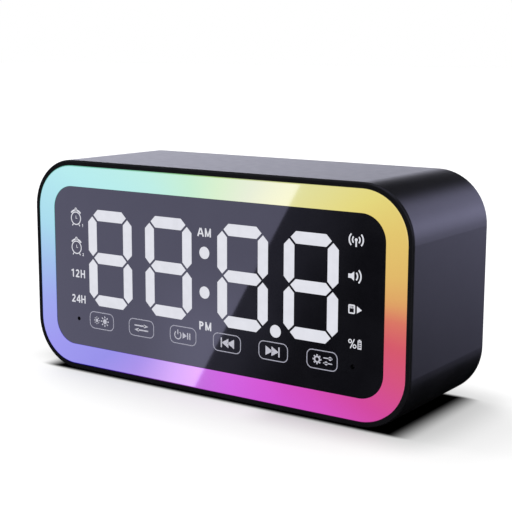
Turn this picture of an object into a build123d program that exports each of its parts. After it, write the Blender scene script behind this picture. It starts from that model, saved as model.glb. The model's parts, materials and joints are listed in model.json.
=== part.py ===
from build123d import *
import math
import os

# Digital desk clock with a colour light ring round its face, a touch panel and a speaker.
# Millimetres. X to the right seen from the front, Y towards the rear, Z up.
# The origin is on the table under the middle of the body. The front face looks along -Y.
# Depths are counted from the front face, and places on the face from its middle.

# Body sleeve: one tube of black plastic, open at the front and at the rear
body_width = 150.0
body_height = 74.0
body_depth = 50.5
body_corner_radius = 17.25
sleeve_wall = 2.2
rim_width = 1.8
rim_edge_radius = 0.8
rebate_depth = 2.0
cut_overrun = 1.0

# Rubber feet, sunk into the underside
foot_stand = 0.8
foot_sink = 1.0
foot_radius = 5.0
foot_edge_radius = 0.35
foot_fit = 0.1
foot_from_side = 25.0
foot_from_face = 9.25

# Opal light ring and the panel inside it
ring_width = 7.2
ring_fit = 0.1
ring_inner_radius = 8.3
ring_edge_radius = 0.25
panel_setback = 0.1
panel_thickness = 1.7
panel_fit = 0.05
pinhole_radius = 0.7
pinhole_from_middle_share = 0.4197
pinhole_drop_share = 0.33214

# Light mask film behind the panel
mask_inset = 0.3
mask_cut_fit = 0.15

# Seven-segment digits: pitch and rise as shares of the panel's opening, the rest of the pitch
digit_pitch_share = 0.192424
digit_rise_share = 0.06875
digit_line_height_share = 0.530357
digit_line_width_in_pitches_share = 0.61811
colon_space_in_pitches_share = 1.177165
segment_width = 3.8
segment_tip_gap = 0.55
segment_fit = 0.04
cavity_lip = 0.5

# Round points of the display
point_radius_in_pitches_share = 0.07874
colon_from_middle_share = 0.116071
decimal_below_line = 0.6

# Lit legends beside the digits, placed as shares of the panel's opening
legend_column_share = 0.42197
legend_pipe_width_in_pitches_share = 0.291339
legend_pipe_height_share = 0.096429
legend_pipe_radius = 0.6
legend_pipe_length = 4.5
legend_fit = 0.08
left_legend_rise_shares = [0.303571, 0.121429, -0.044643, -0.205357]
right_legend_rise_shares = [0.344643, 0.160714, -0.017857, -0.205357]
morning_rise_share = 0.303571
afternoon_rise_share = -0.244643

# Touch keys: foam pads that press on the back of the panel
key_names = ["light", "mode", "power", "previous", "next", "set"]
key_pitch_share = 0.135606
key_drop_share = 0.324107
pad_width_in_pitches_share = 0.502793
pad_height = 4.6
pad_radius = 1.0
pocket_fit = 0.2

# Front frame: white carrier that splits the ring's light from the display's
frame_fit = 0.2
frame_wall = 1.2
frame_depth = 6.3
frame_corner_radius = 14.85
separator_overlap = 0.6
separator_wall = 1.8
deck_thickness = 1.0
deck_from_rear = 0.8
led_window = 4.0
post_radius = 2.5
post_length = 3.7
post_fit = 0.3
post_drop = 5.3
post_place_in_pitches_share = 2.5
frame_boss_radius = 2.2
frame_boss_inset = 1.5
frame_boss_front_gap = 1.0
frame_boss_place_in_pitches_share = 1.5

# Display reflector block
reflector_side_gap = 2.8
reflector_boss_gap = 0.6
reflector_radius = 3.0

# Front circuit board and what stands on it
board_thickness = 1.6
board_inset = 1.0
board_corner_radius = 14.0
ring_led_count = 24
ring_led_size = 3.5
ring_led_height = 1.6
segment_led_length = 2.0
segment_led_width = 1.2
segment_led_height = 0.8
microphone_radius = 2.0
microphone_height = 1.5
boot_wall = 0.8
boot_fit = 0.1
light_sensor_width = 3.2
light_sensor_height = 2.0
light_sensor_tall = 1.4

# Self-tapping screws
screw_radius = 1.0
thread_fit = 0.03
screw_hole_fit = 0.2
screw_head_radius = 1.8
screw_head_height = 1.2
screw_head_edge = 0.3
cross_length = 2.0
cross_width = 0.5
cross_depth = 0.7
frame_screw_length = 6.5
board_screw_length = 4.5
rear_screw_length = 8.0
speaker_screw_length = 2.8
main_screw_length = 4.2
screw_end_room = 0.5

# Lugs in the sleeve that hold the front frame
lug_width = 9.0
lug_thickness = 3.0
lug_below_hole = 3.5

# Rear cover and the bosses and ledge in the sleeve that hold it
cover_thickness = 2.2
cover_recess = 1.5
cover_fit = 0.15
cover_edge_radius = 0.4
ledge_width = 1.2
ledge_thickness = 1.5
rear_boss_radius = 3.0
rear_boss_length = 12.0
rear_boss_embed = 0.5
counterbore_fit = 0.25
counterbore_depth = 1.3

# Speaker, firing to the rear, with its share of the width left free beside it
speaker_side_share = 0.39071
speaker_size = 45.0
speaker_corner_radius = 4.0
speaker_flange = 1.0
speaker_hole_from_middle = 18.5
speaker_boss_radius = 2.1
gasket_thickness = 0.8
gasket_outer_radius = 21.6
gasket_inner_radius = 20.0
basket_opening_radius = 19.5
basket_wall = 0.8
basket_straight = 3.0
basket_depth = 11.5
basket_base_radius = 14.3
basket_base_thickness = 1.0
basket_window_width = 9.0
basket_window_height = 3.6
top_plate_radius = 12.5
top_plate_thickness = 2.0
top_plate_hole_radius = 5.9
magnet_radius = 14.0
magnet_hole_radius = 8.5
magnet_thickness = 5.0
yoke_thickness = 2.0
pole_radius = 4.8
former_radius = 5.1
former_wall = 0.2
winding_wall = 0.3
former_length = 9.0
winding_length = 5.5
coil_floor_room = 1.5
cone_depth = 5.0
cone_outer_radius = 15.0
cone_rim_radius = 16.0
cone_thickness = 0.45
glue_gap = 0.02
dust_cap_radius = 6.6
dust_cap_height = 2.2
dust_cap_thickness = 0.3
surround_roll_radius = 1.4
surround_thickness = 0.4
surround_lip = 0.7
surround_rest_gap = 0.05
spider_thickness = 0.4
spider_rise = 1.3
spider_seat_width = 1.6
spider_waves = 3
spider_wave_height = 0.7
cone_travel = 1.5
terminal_length = 9.0
terminal_width = 1.6
terminal_height = 4.0

# Grille in the rear cover
grille_hole_radius = 0.8
grille_pitch = 3.4
grille_rings = 5
holes_per_ring_step = 6
mesh_thickness = 0.3
mesh_inset = 0.4

# Shelf on the rear cover and the main circuit board on it
shelf_width = 64.0
shelf_depth = 24.6
shelf_thickness = 1.6
shelf_side_share = 0.322404
shelf_drop = 5.6
rib_thickness = 1.6
rib_height = 7.0
standoff_height = 2.0
standoff_radius = 2.3
standoff_inset = 3.5
main_board_width = 62.0
main_board_depth = 24.2
main_board_rear_gap = 0.5
main_board_corner_radius = 1.0

# Sockets and switch at the rear, placed from the middle of the shelf
charging_from_shelf = 11.0
charging_width = 8.94
charging_height = 3.26
charging_length = 7.4
charging_wall = 0.3
charging_tongue_width = 6.7
charging_tongue_height = 0.7
charging_tongue_gap = 0.9
charging_floor = 1.2
charging_overhang = 1.5
charging_fit = 0.25
card_from_shelf = -7.0
card_shell_width = 14.6
card_shell_length = 14.8
card_shell_height = 1.9
card_slot_width = 11.4
card_slot_height = 1.1
card_slot_depth = 13.0
card_mouth_fit = 0.5
switch_from_shelf = -21.0
switch_width = 8.6
switch_length = 3.8
switch_height = 3.5
switch_stem = 1.6
switch_stem_length = 1.4
switch_travel = 2.0
switch_fit = 0.25
knob_cap_width = 4.0
knob_cap_height = 3.0
knob_cap_thickness = 1.0
knob_cap_gap = 0.15
knob_groove_count = 3
knob_groove_width = 0.4
knob_groove_depth = 0.3

# Parts on the main board
module_size = [16.0, 11.6, 2.2]
module_from_shelf = 23.0
module_from_rear = 12.9
can_lip = 0.6
chip_places_shares = [(-0.36, 0.62), (-0.14, 0.28), (0.16, 0.30)]
chip_sizes = [(6.0, 6.0, 1.0), (5.0, 4.0, 1.4), (4.0, 4.0, 1.0)]
ribbon_width = 12.0
ribbon_thickness = 0.3
ribbon_connector_height = 2.0
ribbon_connector_depth = 4.0
ribbon_connector_margin = 1.5
ribbon_from_shelf = 1.0
ribbon_rise = 18.0
wire_radius = 0.55
wire_spacing = 1.6
bend_share = 0.45
header_size = [5.6, 4.4, 5.4]
header_from_shelf = 20.0
speaker_header_from_rear = 4.6
battery_header_from_front = 2.6
speaker_lead_forward = 6.5
speaker_lead_turn_from_shelf = 32.5
battery_lead_rise = 2.5
battery_lead_out = 6.5

# Battery cell lying along the body's floor
cell_radius = 9.2
cell_length = 65.0
cell_from_shelf = 6.3
cell_edge_radius = 0.8
cell_cap_radius = 4.0
cell_cap_height = 0.6
cell_fit = 0.15
cradle_floor = 1.5
cradle_wall = 1.5

# Places and sizes that follow from the sizes above
front_y = -body_depth / 2
face_mid_z = foot_stand + body_height / 2
inner_width = body_width - 2 * sleeve_wall
inner_height = body_height - 2 * sleeve_wall
inner_corner_radius = body_corner_radius - sleeve_wall
rebate_width = body_width - 2 * rim_width
rebate_height = body_height - 2 * rim_width
panel_opening_width = rebate_width - 2 * ring_width
panel_opening_height = rebate_height - 2 * ring_width
panel_back = panel_setback + panel_thickness
frame_back = rebate_depth + frame_depth
board_back = frame_back + board_thickness
deck_back = frame_back - deck_from_rear
post_back = deck_back + post_length
lug_back = post_back + lug_thickness
cover_back = body_depth - cover_recess
cover_front = cover_back - cover_thickness
frame_outer_width = inner_width - 2 * frame_fit
frame_outer_height = inner_height - 2 * frame_fit
separator_outer_width = panel_opening_width + 2 * separator_overlap
separator_outer_height = panel_opening_height + 2 * separator_overlap
separator_inner_width = separator_outer_width - 2 * separator_wall
separator_inner_height = separator_outer_height - 2 * separator_wall
separator_radius = ring_inner_radius + separator_overlap
pilot_radius = screw_radius + thread_fit
screw_hole_radius = screw_radius + screw_hole_fit

# Layout of the display on the panel
pinhole_from_middle = pinhole_from_middle_share * panel_opening_width
pinhole_drop = pinhole_drop_share * panel_opening_height
digit_pitch = digit_pitch_share * panel_opening_width
colon_space = colon_space_in_pitches_share * digit_pitch
digit_rise = digit_rise_share * panel_opening_height
digit_line_width = digit_line_width_in_pitches_share * digit_pitch
digit_line_height = digit_line_height_share * panel_opening_height
point_radius = point_radius_in_pitches_share * digit_pitch
colon_from_middle = colon_from_middle_share * panel_opening_height
decimal_drop = digit_line_height / 2 + decimal_below_line
legend_column = legend_column_share * panel_opening_width
legend_pipe_width = legend_pipe_width_in_pitches_share * digit_pitch
legend_pipe_height = legend_pipe_height_share * panel_opening_height
key_pitch = key_pitch_share * panel_opening_width
key_drop = key_drop_share * panel_opening_height
pad_width = pad_width_in_pitches_share * key_pitch

# Centre line of the ring's lights: the middle of the channel between frame wall and separator
led_line_width = (frame_outer_width - 2 * frame_wall + separator_outer_width) / 2
led_line_height = (frame_outer_height - 2 * frame_wall + separator_outer_height) / 2
led_line_radius = (frame_corner_radius - frame_wall + separator_radius) / 2
led_straight_x = led_line_width - 2 * led_line_radius
led_straight_z = led_line_height - 2 * led_line_radius
led_corner_arc = math.pi * led_line_radius / 2
led_pitch = (2 * led_straight_x + 2 * led_straight_z + 4 * led_corner_arc) / ring_led_count
post_x = post_place_in_pitches_share * led_pitch
post_z = inner_height / 2 - post_drop
frame_boss_x = frame_boss_place_in_pitches_share * led_pitch
frame_boss_z = separator_inner_height / 2 - frame_boss_inset
reflector_width = separator_inner_width - 2 * reflector_side_gap
reflector_height = 2 * (frame_boss_z - frame_boss_radius - reflector_boss_gap)

# Places across the width: the shelf on the left, the speaker on the right, the rest left free
free_width = inner_width - shelf_width - speaker_size
shelf_x = -inner_width / 2 + shelf_side_share * free_width + shelf_width / 2
speaker_x = inner_width / 2 - speaker_side_share * free_width - speaker_size / 2
charging_x = shelf_x + charging_from_shelf
card_x = shelf_x + card_from_shelf
switch_x = shelf_x + switch_from_shelf
module_x = shelf_x + module_from_shelf
ribbon_x = shelf_x + ribbon_from_shelf
header_x = shelf_x + header_from_shelf
speaker_lead_turn_x = shelf_x + speaker_lead_turn_from_shelf
cell_x = shelf_x + cell_from_shelf
cell_depth = (lug_back + screw_head_height + cover_front) / 2

# Speaker depths, worked from the cover towards the front
gasket_front = cover_front - gasket_thickness
flange_front = gasket_front - speaker_flange
basket_front = gasket_front - basket_depth
top_plate_front = basket_front - top_plate_thickness
magnet_front = top_plate_front - magnet_thickness
yoke_front = magnet_front - yoke_thickness
basket_floor = basket_front + basket_base_thickness
former_front = magnet_front + cone_travel + coil_floor_room
former_back = former_front + former_length
cone_front = former_back - former_wall - cone_thickness - glue_gap
cone_rim_front = cone_front + cone_depth
cone_rim_back = cone_rim_front + cone_thickness

# Heights of the shelf and the main board, from the middle of the face
shelf_top = shelf_thickness - shelf_drop
main_board_bottom = shelf_top + standoff_height
main_board_top = main_board_bottom + board_thickness
main_board_back = cover_front - main_board_rear_gap
main_board_front = main_board_back - main_board_depth
cell_rise = -inner_height / 2 + cradle_floor + cell_fit + cell_radius


def facing_front(depth, x=0, rise=0):
    """Vertical plane that far behind the front face: x to the right, y up, normal to the front."""
    return Plane(origin=(x, front_y + depth, face_mid_z + rise), x_dir=(1, 0, 0), z_dir=(0, -1, 0))


def facing_rear(depth, x=0, rise=0):
    """Vertical plane whose normal points to the rear, for screws put in from behind."""
    return Plane(origin=(x, front_y + depth, face_mid_z + rise), x_dir=(-1, 0, 0), z_dir=(0, 1, 0))


def facing_up(depth, x, rise):
    """Horizontal plane: x to the right, y to the rear, normal up."""
    return Plane(origin=(x, front_y + depth, face_mid_z + rise), x_dir=(1, 0, 0), z_dir=(0, 0, 1))


def slab(outline, near, far):
    """Solid of an outline on the face, between two depths."""
    return extrude(facing_front(far) * outline, amount=far - near)


def block(x, depth_near, depth_far, low, high, width):
    """Box centred on x, between two depths and two heights above the face's middle."""
    outline = Pos(x, (low + high) / 2) * Rectangle(width, high - low)
    return slab(outline, depth_near, depth_far)


def rod(x, rise, radius, near, far):
    """Round bar along the depth, between two depths."""
    return slab(Pos(x, rise) * Circle(radius), near, far)


def turned(profile):
    """Turns a profile of radius and depth about the speaker's axis."""
    return Pos(speaker_x, front_y, face_mid_z) * revolve(profile, axis=Axis.Y)


def four_corners(x, rise):
    """The four places that mirror one another about the middle of the face."""
    return [(side * x, level * rise) for side in (-1, 1) for level in (-1, 1)]


def screw(length):
    """Pan-head screw along Z with its head's seat at zero and its shank downwards."""
    shank = Cylinder(screw_radius, length, align=(Align.CENTER, Align.CENTER, Align.MAX))
    head = Cylinder(screw_head_radius, screw_head_height, align=(Align.CENTER, Align.CENTER, Align.MIN))
    head = fillet(head.edges().sort_by(Axis.Z)[-1], screw_head_edge)
    cross = Rectangle(cross_length, cross_width) + Rectangle(cross_width, cross_length)
    recess = extrude(Pos(0, 0, screw_head_height - cross_depth) * cross, amount=cross_depth)
    return shank + head - recess


def segment_outline(length, grow=0):
    """Bar with pointed ends along x, its sides moved out by grow."""
    half = segment_width / 2 + grow
    tip = length / 2 + grow * math.sqrt(2)
    shoulder = tip - half
    return Polygon(
        (tip, 0), (shoulder, half), (-shoulder, half), (-tip, 0), (-shoulder, -half), (shoulder, -half)
    )


def digit_outlines(x, grow=0):
    """The seven segments of one digit whose middle is at x."""
    half_line_height = digit_line_height / 2
    flat = segment_outline(digit_line_width - 2 * segment_tip_gap, grow)
    upright = Rot(0, 0, 90) * segment_outline(half_line_height - 2 * segment_tip_gap, grow)
    outlines = [Pos(x, digit_rise + level * half_line_height) * flat for level in (1, 0, -1)]
    for side in (-1, 1):
        for level in (1, -1):
            place = Pos(x + side * digit_line_width / 2, digit_rise + level * half_line_height / 2)
            outlines.append(place * upright)
    return outlines


def digit_places():
    inner = colon_space / 2
    return [-inner - digit_pitch, -inner, inner, inner + digit_pitch]


def colon_outlines(grow=0):
    dot = Circle(point_radius + grow)
    return [Pos(0, digit_rise + level * colon_from_middle) * dot for level in (1, -1)]


def decimal_outline(grow=0):
    x = colon_space / 2 + digit_pitch / 2
    return Pos(x, digit_rise - decimal_drop) * Circle(point_radius + grow)


def window_outlines(grow=0):
    """Every lit window of the display: four digits, the colon and the decimal point."""
    outlines = [outline for x in digit_places() for outline in digit_outlines(x, grow)]
    return outlines + colon_outlines(grow) + [decimal_outline(grow)]


def legend_places():
    left = [(-legend_column, share) for share in left_legend_rise_shares]
    right = [(legend_column, share) for share in right_legend_rise_shares]
    middle = [(0, morning_rise_share), (0, afternoon_rise_share)]
    return [(x, share * panel_opening_height) for x, share in left + right + middle]


def legend_outlines(grow=0):
    pipe = RectangleRounded(
        legend_pipe_width + 2 * grow, legend_pipe_height + 2 * grow, legend_pipe_radius + grow
    )
    return [Pos(x, rise) * pipe for x, rise in legend_places()]


def key_places():
    first = -(len(key_names) - 1) / 2
    return [((first + number) * key_pitch, -key_drop) for number in range(len(key_names))]


def pad_outline(grow=0):
    return RectangleRounded(pad_width + 2 * grow, pad_height + 2 * grow, pad_radius + grow)


def pad_outlines(grow=0):
    return [Pos(x, rise) * pad_outline(grow) for x, rise in key_places()]


def pinholes(radius):
    return [Pos(side * pinhole_from_middle, -pinhole_drop) * Circle(radius) for side in (-1, 1)]


def led_places():
    """Equal steps along the channel's rounded centre line, from the top middle clockwise."""
    corner_x = led_straight_x / 2
    corner_z = led_straight_z / 2
    runs = [
        (corner_x, (0, corner_z + led_line_radius), 0),
        (led_corner_arc, (corner_x, corner_z), 90),
        (led_straight_z, (corner_x + led_line_radius, corner_z), -90),
        (led_corner_arc, (corner_x, -corner_z), 0),
        (led_straight_x, (corner_x, -corner_z - led_line_radius), 180),
        (led_corner_arc, (-corner_x, -corner_z), -90),
        (led_straight_z, (-corner_x - led_line_radius, -corner_z), 90),
        (led_corner_arc, (-corner_x, corner_z), 180),
        (corner_x, (-corner_x, corner_z + led_line_radius), 0),
    ]
    places = []
    for number in range(ring_led_count):
        left = number * led_pitch
        turn = 0
        while left > runs[turn][0]:
            left -= runs[turn][0]
            turn += 1
        (x, z), angle = runs[turn][1:]
        on_corner = turn % 2 == 1
        heading = math.radians(angle)
        if on_corner:
            bend = left / led_line_radius
            across = led_line_radius * math.cos(heading - bend)
            up = led_line_radius * math.sin(heading - bend)
            places.append(((x + across, z + up), angle - math.degrees(bend)))
        else:
            place = (x + left * math.cos(heading), z + left * math.sin(heading))
            places.append((place, angle))
    return places


def square_on_leds(size):
    square = Rectangle(size, size)
    return [Pos(*place) * Rot(0, 0, turn) * square for place, turn in led_places()]


def housing_sleeve():
    """The tube of the body with its lugs, rear bosses, cover ledge and foot recesses."""
    body = slab(RectangleRounded(body_width, body_height, body_corner_radius), 0, body_depth)
    ends = body.faces().sort_by(Axis.Y)
    body = fillet(ends[0].edges() + ends[-1].edges(), rim_edge_radius)
    inside = RectangleRounded(inner_width, inner_height, inner_corner_radius)
    body -= slab(inside, -cut_overrun, body_depth + cut_overrun)
    rebate = RectangleRounded(rebate_width, rebate_height, body_corner_radius - rim_width)
    body -= slab(rebate, -cut_overrun, rebate_depth)
    ledge = inside - RectangleRounded(
        inner_width - 2 * ledge_width, inner_height - 2 * ledge_width, inner_corner_radius - ledge_width
    )
    body += slab(ledge, cover_front - ledge_thickness, cover_front)
    body += frame_lugs() + rear_bosses()
    for x, rise in four_corners(post_x, post_z):
        body -= rod(x, rise, screw_hole_radius, post_back - cut_overrun, lug_back + cut_overrun)
    pilot_end = counterbore_seat() - rear_screw_length - screw_end_room
    for x, rise in rear_screw_places():
        body -= rod(x, rise, pilot_radius, pilot_end, cover_front + cut_overrun)
    for x, y in foot_places():
        recess = Cylinder(
            foot_radius + foot_fit, foot_sink + cut_overrun, align=(Align.CENTER, Align.CENTER, Align.MAX)
        )
        body -= Pos(x, y, foot_stand + foot_sink) * recess
    return body


def frame_lugs():
    """Four lugs hanging from the sleeve's top and standing on its floor."""
    lugs = []
    for x, rise in four_corners(post_x, post_z):
        level = math.copysign(1, rise)
        wall = level * (inner_height + sleeve_wall) / 2
        end = rise + level * (lug_width / 2 - lug_below_hole)
        shaft = Pos(x, (wall + end) / 2) * Rectangle(lug_width, abs(wall - end))
        tip = Pos(x, end) * Circle(lug_width / 2)
        lugs.append(slab(shaft + tip, post_back, lug_back))
    return lugs


def rear_screw_places():
    reach = (inner_corner_radius - rear_boss_radius + rear_boss_embed) / math.sqrt(2)
    x = inner_width / 2 - inner_corner_radius + reach
    rise = inner_height / 2 - inner_corner_radius + reach
    return four_corners(x, rise)


def rear_bosses():
    start = cover_front - rear_boss_length
    return [rod(x, rise, rear_boss_radius, start, cover_front) for x, rise in rear_screw_places()]


def counterbore_seat():
    return cover_back - counterbore_depth


def foot_places():
    return four_corners(body_width / 2 - foot_from_side, body_depth / 2 - foot_from_face)


def rubber_foot(x, y):
    """Round foot with a softened lower edge, standing proud of the underside."""
    foot = Cylinder(foot_radius, foot_stand + foot_sink, align=(Align.CENTER, Align.CENTER, Align.MIN))
    foot = fillet(foot.edges().sort_by(Axis.Z)[0], foot_edge_radius)
    return Pos(x, y) * foot


def light_ring():
    """Opal band between the rim and the panel, its outer front edge softened."""
    radius = body_corner_radius - rim_width - ring_fit
    outline = RectangleRounded(rebate_width - 2 * ring_fit, rebate_height - 2 * ring_fit, radius)
    ring = slab(outline, 0, rebate_depth)
    ring = fillet(ring.faces().sort_by(Axis.Y)[0].edges(), ring_edge_radius)
    opening = RectangleRounded(panel_opening_width, panel_opening_height, ring_inner_radius)
    return ring - slab(opening, -cut_overrun, rebate_depth + cut_overrun)


def face_panel():
    """Black gloss panel with a window for each lit segment and point."""
    width = panel_opening_width - 2 * panel_fit
    height = panel_opening_height - 2 * panel_fit
    outline = RectangleRounded(width, height, ring_inner_radius - panel_fit)
    cuts = window_outlines(segment_fit) + pinholes(pinhole_radius)
    return slab(outline - cuts, panel_setback, panel_back)


def light_mask():
    """Adhesive film behind the panel, cut out round everything that reaches the panel."""
    inset = panel_fit + mask_inset
    width = panel_opening_width - 2 * inset
    height = panel_opening_height - 2 * inset
    outline = RectangleRounded(width, height, ring_inner_radius - inset)
    cuts = window_outlines(mask_cut_fit) + legend_outlines(mask_cut_fit)
    cuts += pad_outlines(pocket_fit) + pinholes(pinhole_radius + mask_cut_fit)
    return slab(outline - cuts, panel_back, rebate_depth)


def segments_of(outlines):
    """Milky inserts that fill their windows, standing on the reflector's face."""
    return [slab(outline, panel_setback, rebate_depth) for outline in outlines]


def front_frame():
    """White carrier: outer wall, separator, deck with light windows, posts and bosses."""
    outer = RectangleRounded(frame_outer_width, frame_outer_height, frame_corner_radius)
    channel_width = frame_outer_width - 2 * frame_wall
    channel_height = frame_outer_height - 2 * frame_wall
    wall_inside = RectangleRounded(channel_width, channel_height, frame_corner_radius - frame_wall)
    separator = RectangleRounded(separator_outer_width, separator_outer_height, separator_radius)
    display_space = RectangleRounded(
        separator_inner_width, separator_inner_height, separator_radius - separator_wall
    )
    frame = slab(outer - wall_inside, rebate_depth, frame_back)
    frame += slab(separator - display_space, rebate_depth, frame_back)
    frame += slab(outer - display_space, deck_back - deck_thickness, deck_back)
    frame -= [slab(window, rebate_depth, deck_back + cut_overrun) for window in square_on_leds(led_window)]
    pilot_end = lug_back - frame_screw_length - screw_end_room
    for x, rise in four_corners(post_x, post_z):
        frame += rod(x, rise, post_radius, deck_back - deck_thickness, post_back)
        frame -= rod(x, rise, pilot_radius, pilot_end, post_back + cut_overrun)
    pilot_end = board_back - board_screw_length - screw_end_room
    for x, rise in four_corners(frame_boss_x, frame_boss_z):
        frame += rod(x, rise, frame_boss_radius, rebate_depth + frame_boss_front_gap, frame_back)
        frame -= rod(x, rise, pilot_radius, pilot_end, frame_back + cut_overrun)
    return frame


def display_reflector():
    """Block of light wells behind the display, with pockets for pads, pipes and sensors."""
    outline = RectangleRounded(reflector_width, reflector_height, reflector_radius)
    cuts = window_outlines(-cavity_lip) + legend_outlines(legend_fit) + pad_outlines(pocket_fit)
    cuts += pinholes(boot_radius() + pocket_fit)
    return slab(outline - cuts, rebate_depth, frame_back)


def board_outline():
    width = inner_width - 2 * board_inset
    height = inner_height - 2 * board_inset
    return RectangleRounded(width, height, board_corner_radius)


def front_board():
    """Circuit board that carries the lights, sensors and touch pads."""
    holes = [Pos(*place) * Circle(post_radius + post_fit) for place in four_corners(post_x, post_z)]
    holes += [Pos(*place) * Circle(screw_hole_radius) for place in four_corners(frame_boss_x, frame_boss_z)]
    return slab(board_outline() - holes, frame_back, board_back)


def ring_leds():
    """Colour lights of the ring, looking forward through the deck's windows."""
    squares = square_on_leds(ring_led_size)
    return [slab(square, frame_back - ring_led_height, frame_back) for square in squares]


def segment_leds():
    """White lights of the display, one in each light well."""
    led = Rectangle(segment_led_length, segment_led_width)
    places = []
    for x in digit_places():
        places += [Pos(x, digit_rise + level * digit_line_height / 2) for level in (1, 0, -1)]
        for side in (-1, 1):
            for level in (1, -1):
                rise = digit_rise + level * digit_line_height / 4
                places.append(Pos(x + side * digit_line_width / 2, rise) * Rot(0, 0, 90))
    places += [Pos(0, digit_rise + level * colon_from_middle) for level in (1, -1)]
    places.append(Pos(colon_space / 2 + digit_pitch / 2, digit_rise - decimal_drop))
    places += [Pos(*place) for place in legend_places()]
    return [slab(place * led, frame_back - segment_led_height, frame_back) for place in places]


def legend_light_pipes():
    """Clear blocks that carry light to the legends printed on the panel."""
    return [slab(outline, panel_back, panel_back + legend_pipe_length) for outline in legend_outlines()]


def touch_pad(x, rise):
    return slab(Pos(x, rise) * pad_outline(), panel_back, frame_back)


def boot_radius():
    return microphone_radius + boot_fit + boot_wall


def microphone():
    capsule = Pos(-pinhole_from_middle, -pinhole_drop) * Circle(microphone_radius)
    return slab(capsule, frame_back - microphone_height, frame_back)


def microphone_boot():
    """Rubber tube that joins the left pinhole to the microphone."""
    place = Pos(-pinhole_from_middle, -pinhole_drop)
    boot = slab(place * Circle(boot_radius()), rebate_depth, frame_back)
    boot -= slab(place * Circle(pinhole_radius), rebate_depth - cut_overrun, frame_back)
    capsule_room = place * Circle(microphone_radius + boot_fit)
    return boot - slab(capsule_room, frame_back - microphone_height - boot_fit, frame_back + cut_overrun)


def light_sensor():
    """Sensor behind the right pinhole that dims the display at night."""
    chip = Pos(pinhole_from_middle, -pinhole_drop) * Rectangle(light_sensor_width, light_sensor_height)
    return slab(chip, frame_back - light_sensor_tall, frame_back)


def frame_screws():
    places = four_corners(post_x, post_z)
    return [facing_rear(lug_back, *place) * screw(frame_screw_length) for place in places]


def board_screws():
    places = four_corners(frame_boss_x, frame_boss_z)
    return [facing_rear(board_back, *place) * screw(board_screw_length) for place in places]


def rear_screws():
    places = rear_screw_places()
    return [facing_rear(counterbore_seat(), *place) * screw(rear_screw_length) for place in places]


def speaker_hole_places():
    corners = four_corners(speaker_hole_from_middle, speaker_hole_from_middle)
    return [(speaker_x + x, rise) for x, rise in corners]


def grille_outlines():
    """Rings of round holes, with as many more holes as each ring is wider."""
    holes = [Pos(speaker_x, 0) * Circle(grille_hole_radius)]
    for ring in range(1, grille_rings + 1):
        count = ring * holes_per_ring_step
        for number in range(count):
            angle = 2 * math.pi * number / count
            reach = ring * grille_pitch
            place = Pos(speaker_x + reach * math.cos(angle), reach * math.sin(angle))
            holes.append(place * Circle(grille_hole_radius))
    return holes


def charging_mid():
    return main_board_top + charging_height / 2


def card_mid():
    return main_board_top + card_shell_height / 2


def switch_mid():
    return main_board_top + switch_height / 2


def port_outlines():
    """Openings in the cover for the charging socket, the memory card and the switch."""
    charging = RectangleRounded(
        charging_width + 2 * charging_fit, charging_height + 2 * charging_fit, charging_height / 2
    )
    card = RectangleRounded(
        card_slot_width + 2 * card_mouth_fit, card_slot_height + 2 * card_mouth_fit, card_mouth_fit
    )
    slot = Rectangle(switch_stem + switch_travel + 2 * switch_fit, switch_stem + 2 * switch_fit)
    return [
        Pos(charging_x, charging_mid()) * charging,
        Pos(card_x, card_mid()) * card,
        Pos(switch_x + switch_travel / 2, switch_mid()) * slot,
    ]


def rear_cover():
    """Rear plate with grille, ports and screw seats, and the shelf for the main board."""
    width = inner_width - 2 * cover_fit
    height = inner_height - 2 * cover_fit
    outline = RectangleRounded(width, height, inner_corner_radius - cover_fit)
    cover = slab(outline, cover_front, cover_back)
    cover = fillet(cover.faces().sort_by(Axis.Y)[-1].edges(), cover_edge_radius)
    cuts = grille_outlines() + port_outlines()
    cuts += [Pos(*place) * Circle(screw_hole_radius) for place in rear_screw_places()]
    cover -= [slab(cut, cover_front - cut_overrun, cover_back + cut_overrun) for cut in cuts]
    bore_radius = screw_head_radius + counterbore_fit
    for x, rise in rear_screw_places():
        cover -= rod(x, rise, bore_radius, counterbore_seat(), cover_back + cut_overrun)
    pilot_end = flange_front + speaker_screw_length + thread_fit
    for x, rise in speaker_hole_places():
        cover += rod(x, rise, speaker_boss_radius, gasket_front, cover_front)
        cover -= rod(x, rise, pilot_radius, gasket_front - cut_overrun, pilot_end)
    return cover + main_shelf() - shelf_pilots()


def main_shelf():
    """Shelf, its two ribs and four standoffs, moulded with the rear cover."""
    front = cover_front - shelf_depth
    shelf = block(shelf_x, front, cover_front, -shelf_drop, shelf_top, shelf_width)
    solids = [shelf]
    for side in (-1, 1):
        x = shelf_x + side * (shelf_width / 2 - standoff_inset) - rib_thickness / 2
        origin = (x, front_y + cover_front, face_mid_z - shelf_drop)
        plane = Plane(origin=origin, x_dir=(0, 1, 0), z_dir=(1, 0, 0))
        rib = plane * Polygon((0, 0), (-shelf_depth, 0), (0, -rib_height))
        solids.append(extrude(rib, amount=rib_thickness))
    for x, depth in standoff_places():
        post = Cylinder(standoff_radius, standoff_height, align=(Align.CENTER, Align.CENTER, Align.MIN))
        solids.append(facing_up(depth, x, shelf_top) * post)
    return solids


def standoff_places():
    reach = main_board_width / 2 - standoff_inset
    depths = (main_board_front + standoff_inset, main_board_back - standoff_inset)
    return [(shelf_x + side * reach, depth) for side in (-1, 1) for depth in depths]


def shelf_pilots():
    pilot = Cylinder(pilot_radius, main_screw_length, align=(Align.CENTER, Align.CENTER, Align.MAX))
    return [facing_up(depth, x, main_board_bottom) * pilot for x, depth in standoff_places()]


def grille_mesh():
    disc = Pos(speaker_x, 0) * Circle(gasket_inner_radius - mesh_inset)
    return slab(disc, cover_front - mesh_thickness, cover_front)


def speaker_gasket():
    ring = Pos(speaker_x, 0) * (Circle(gasket_outer_radius) - Circle(gasket_inner_radius))
    return slab(ring, gasket_front, cover_front)


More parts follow.
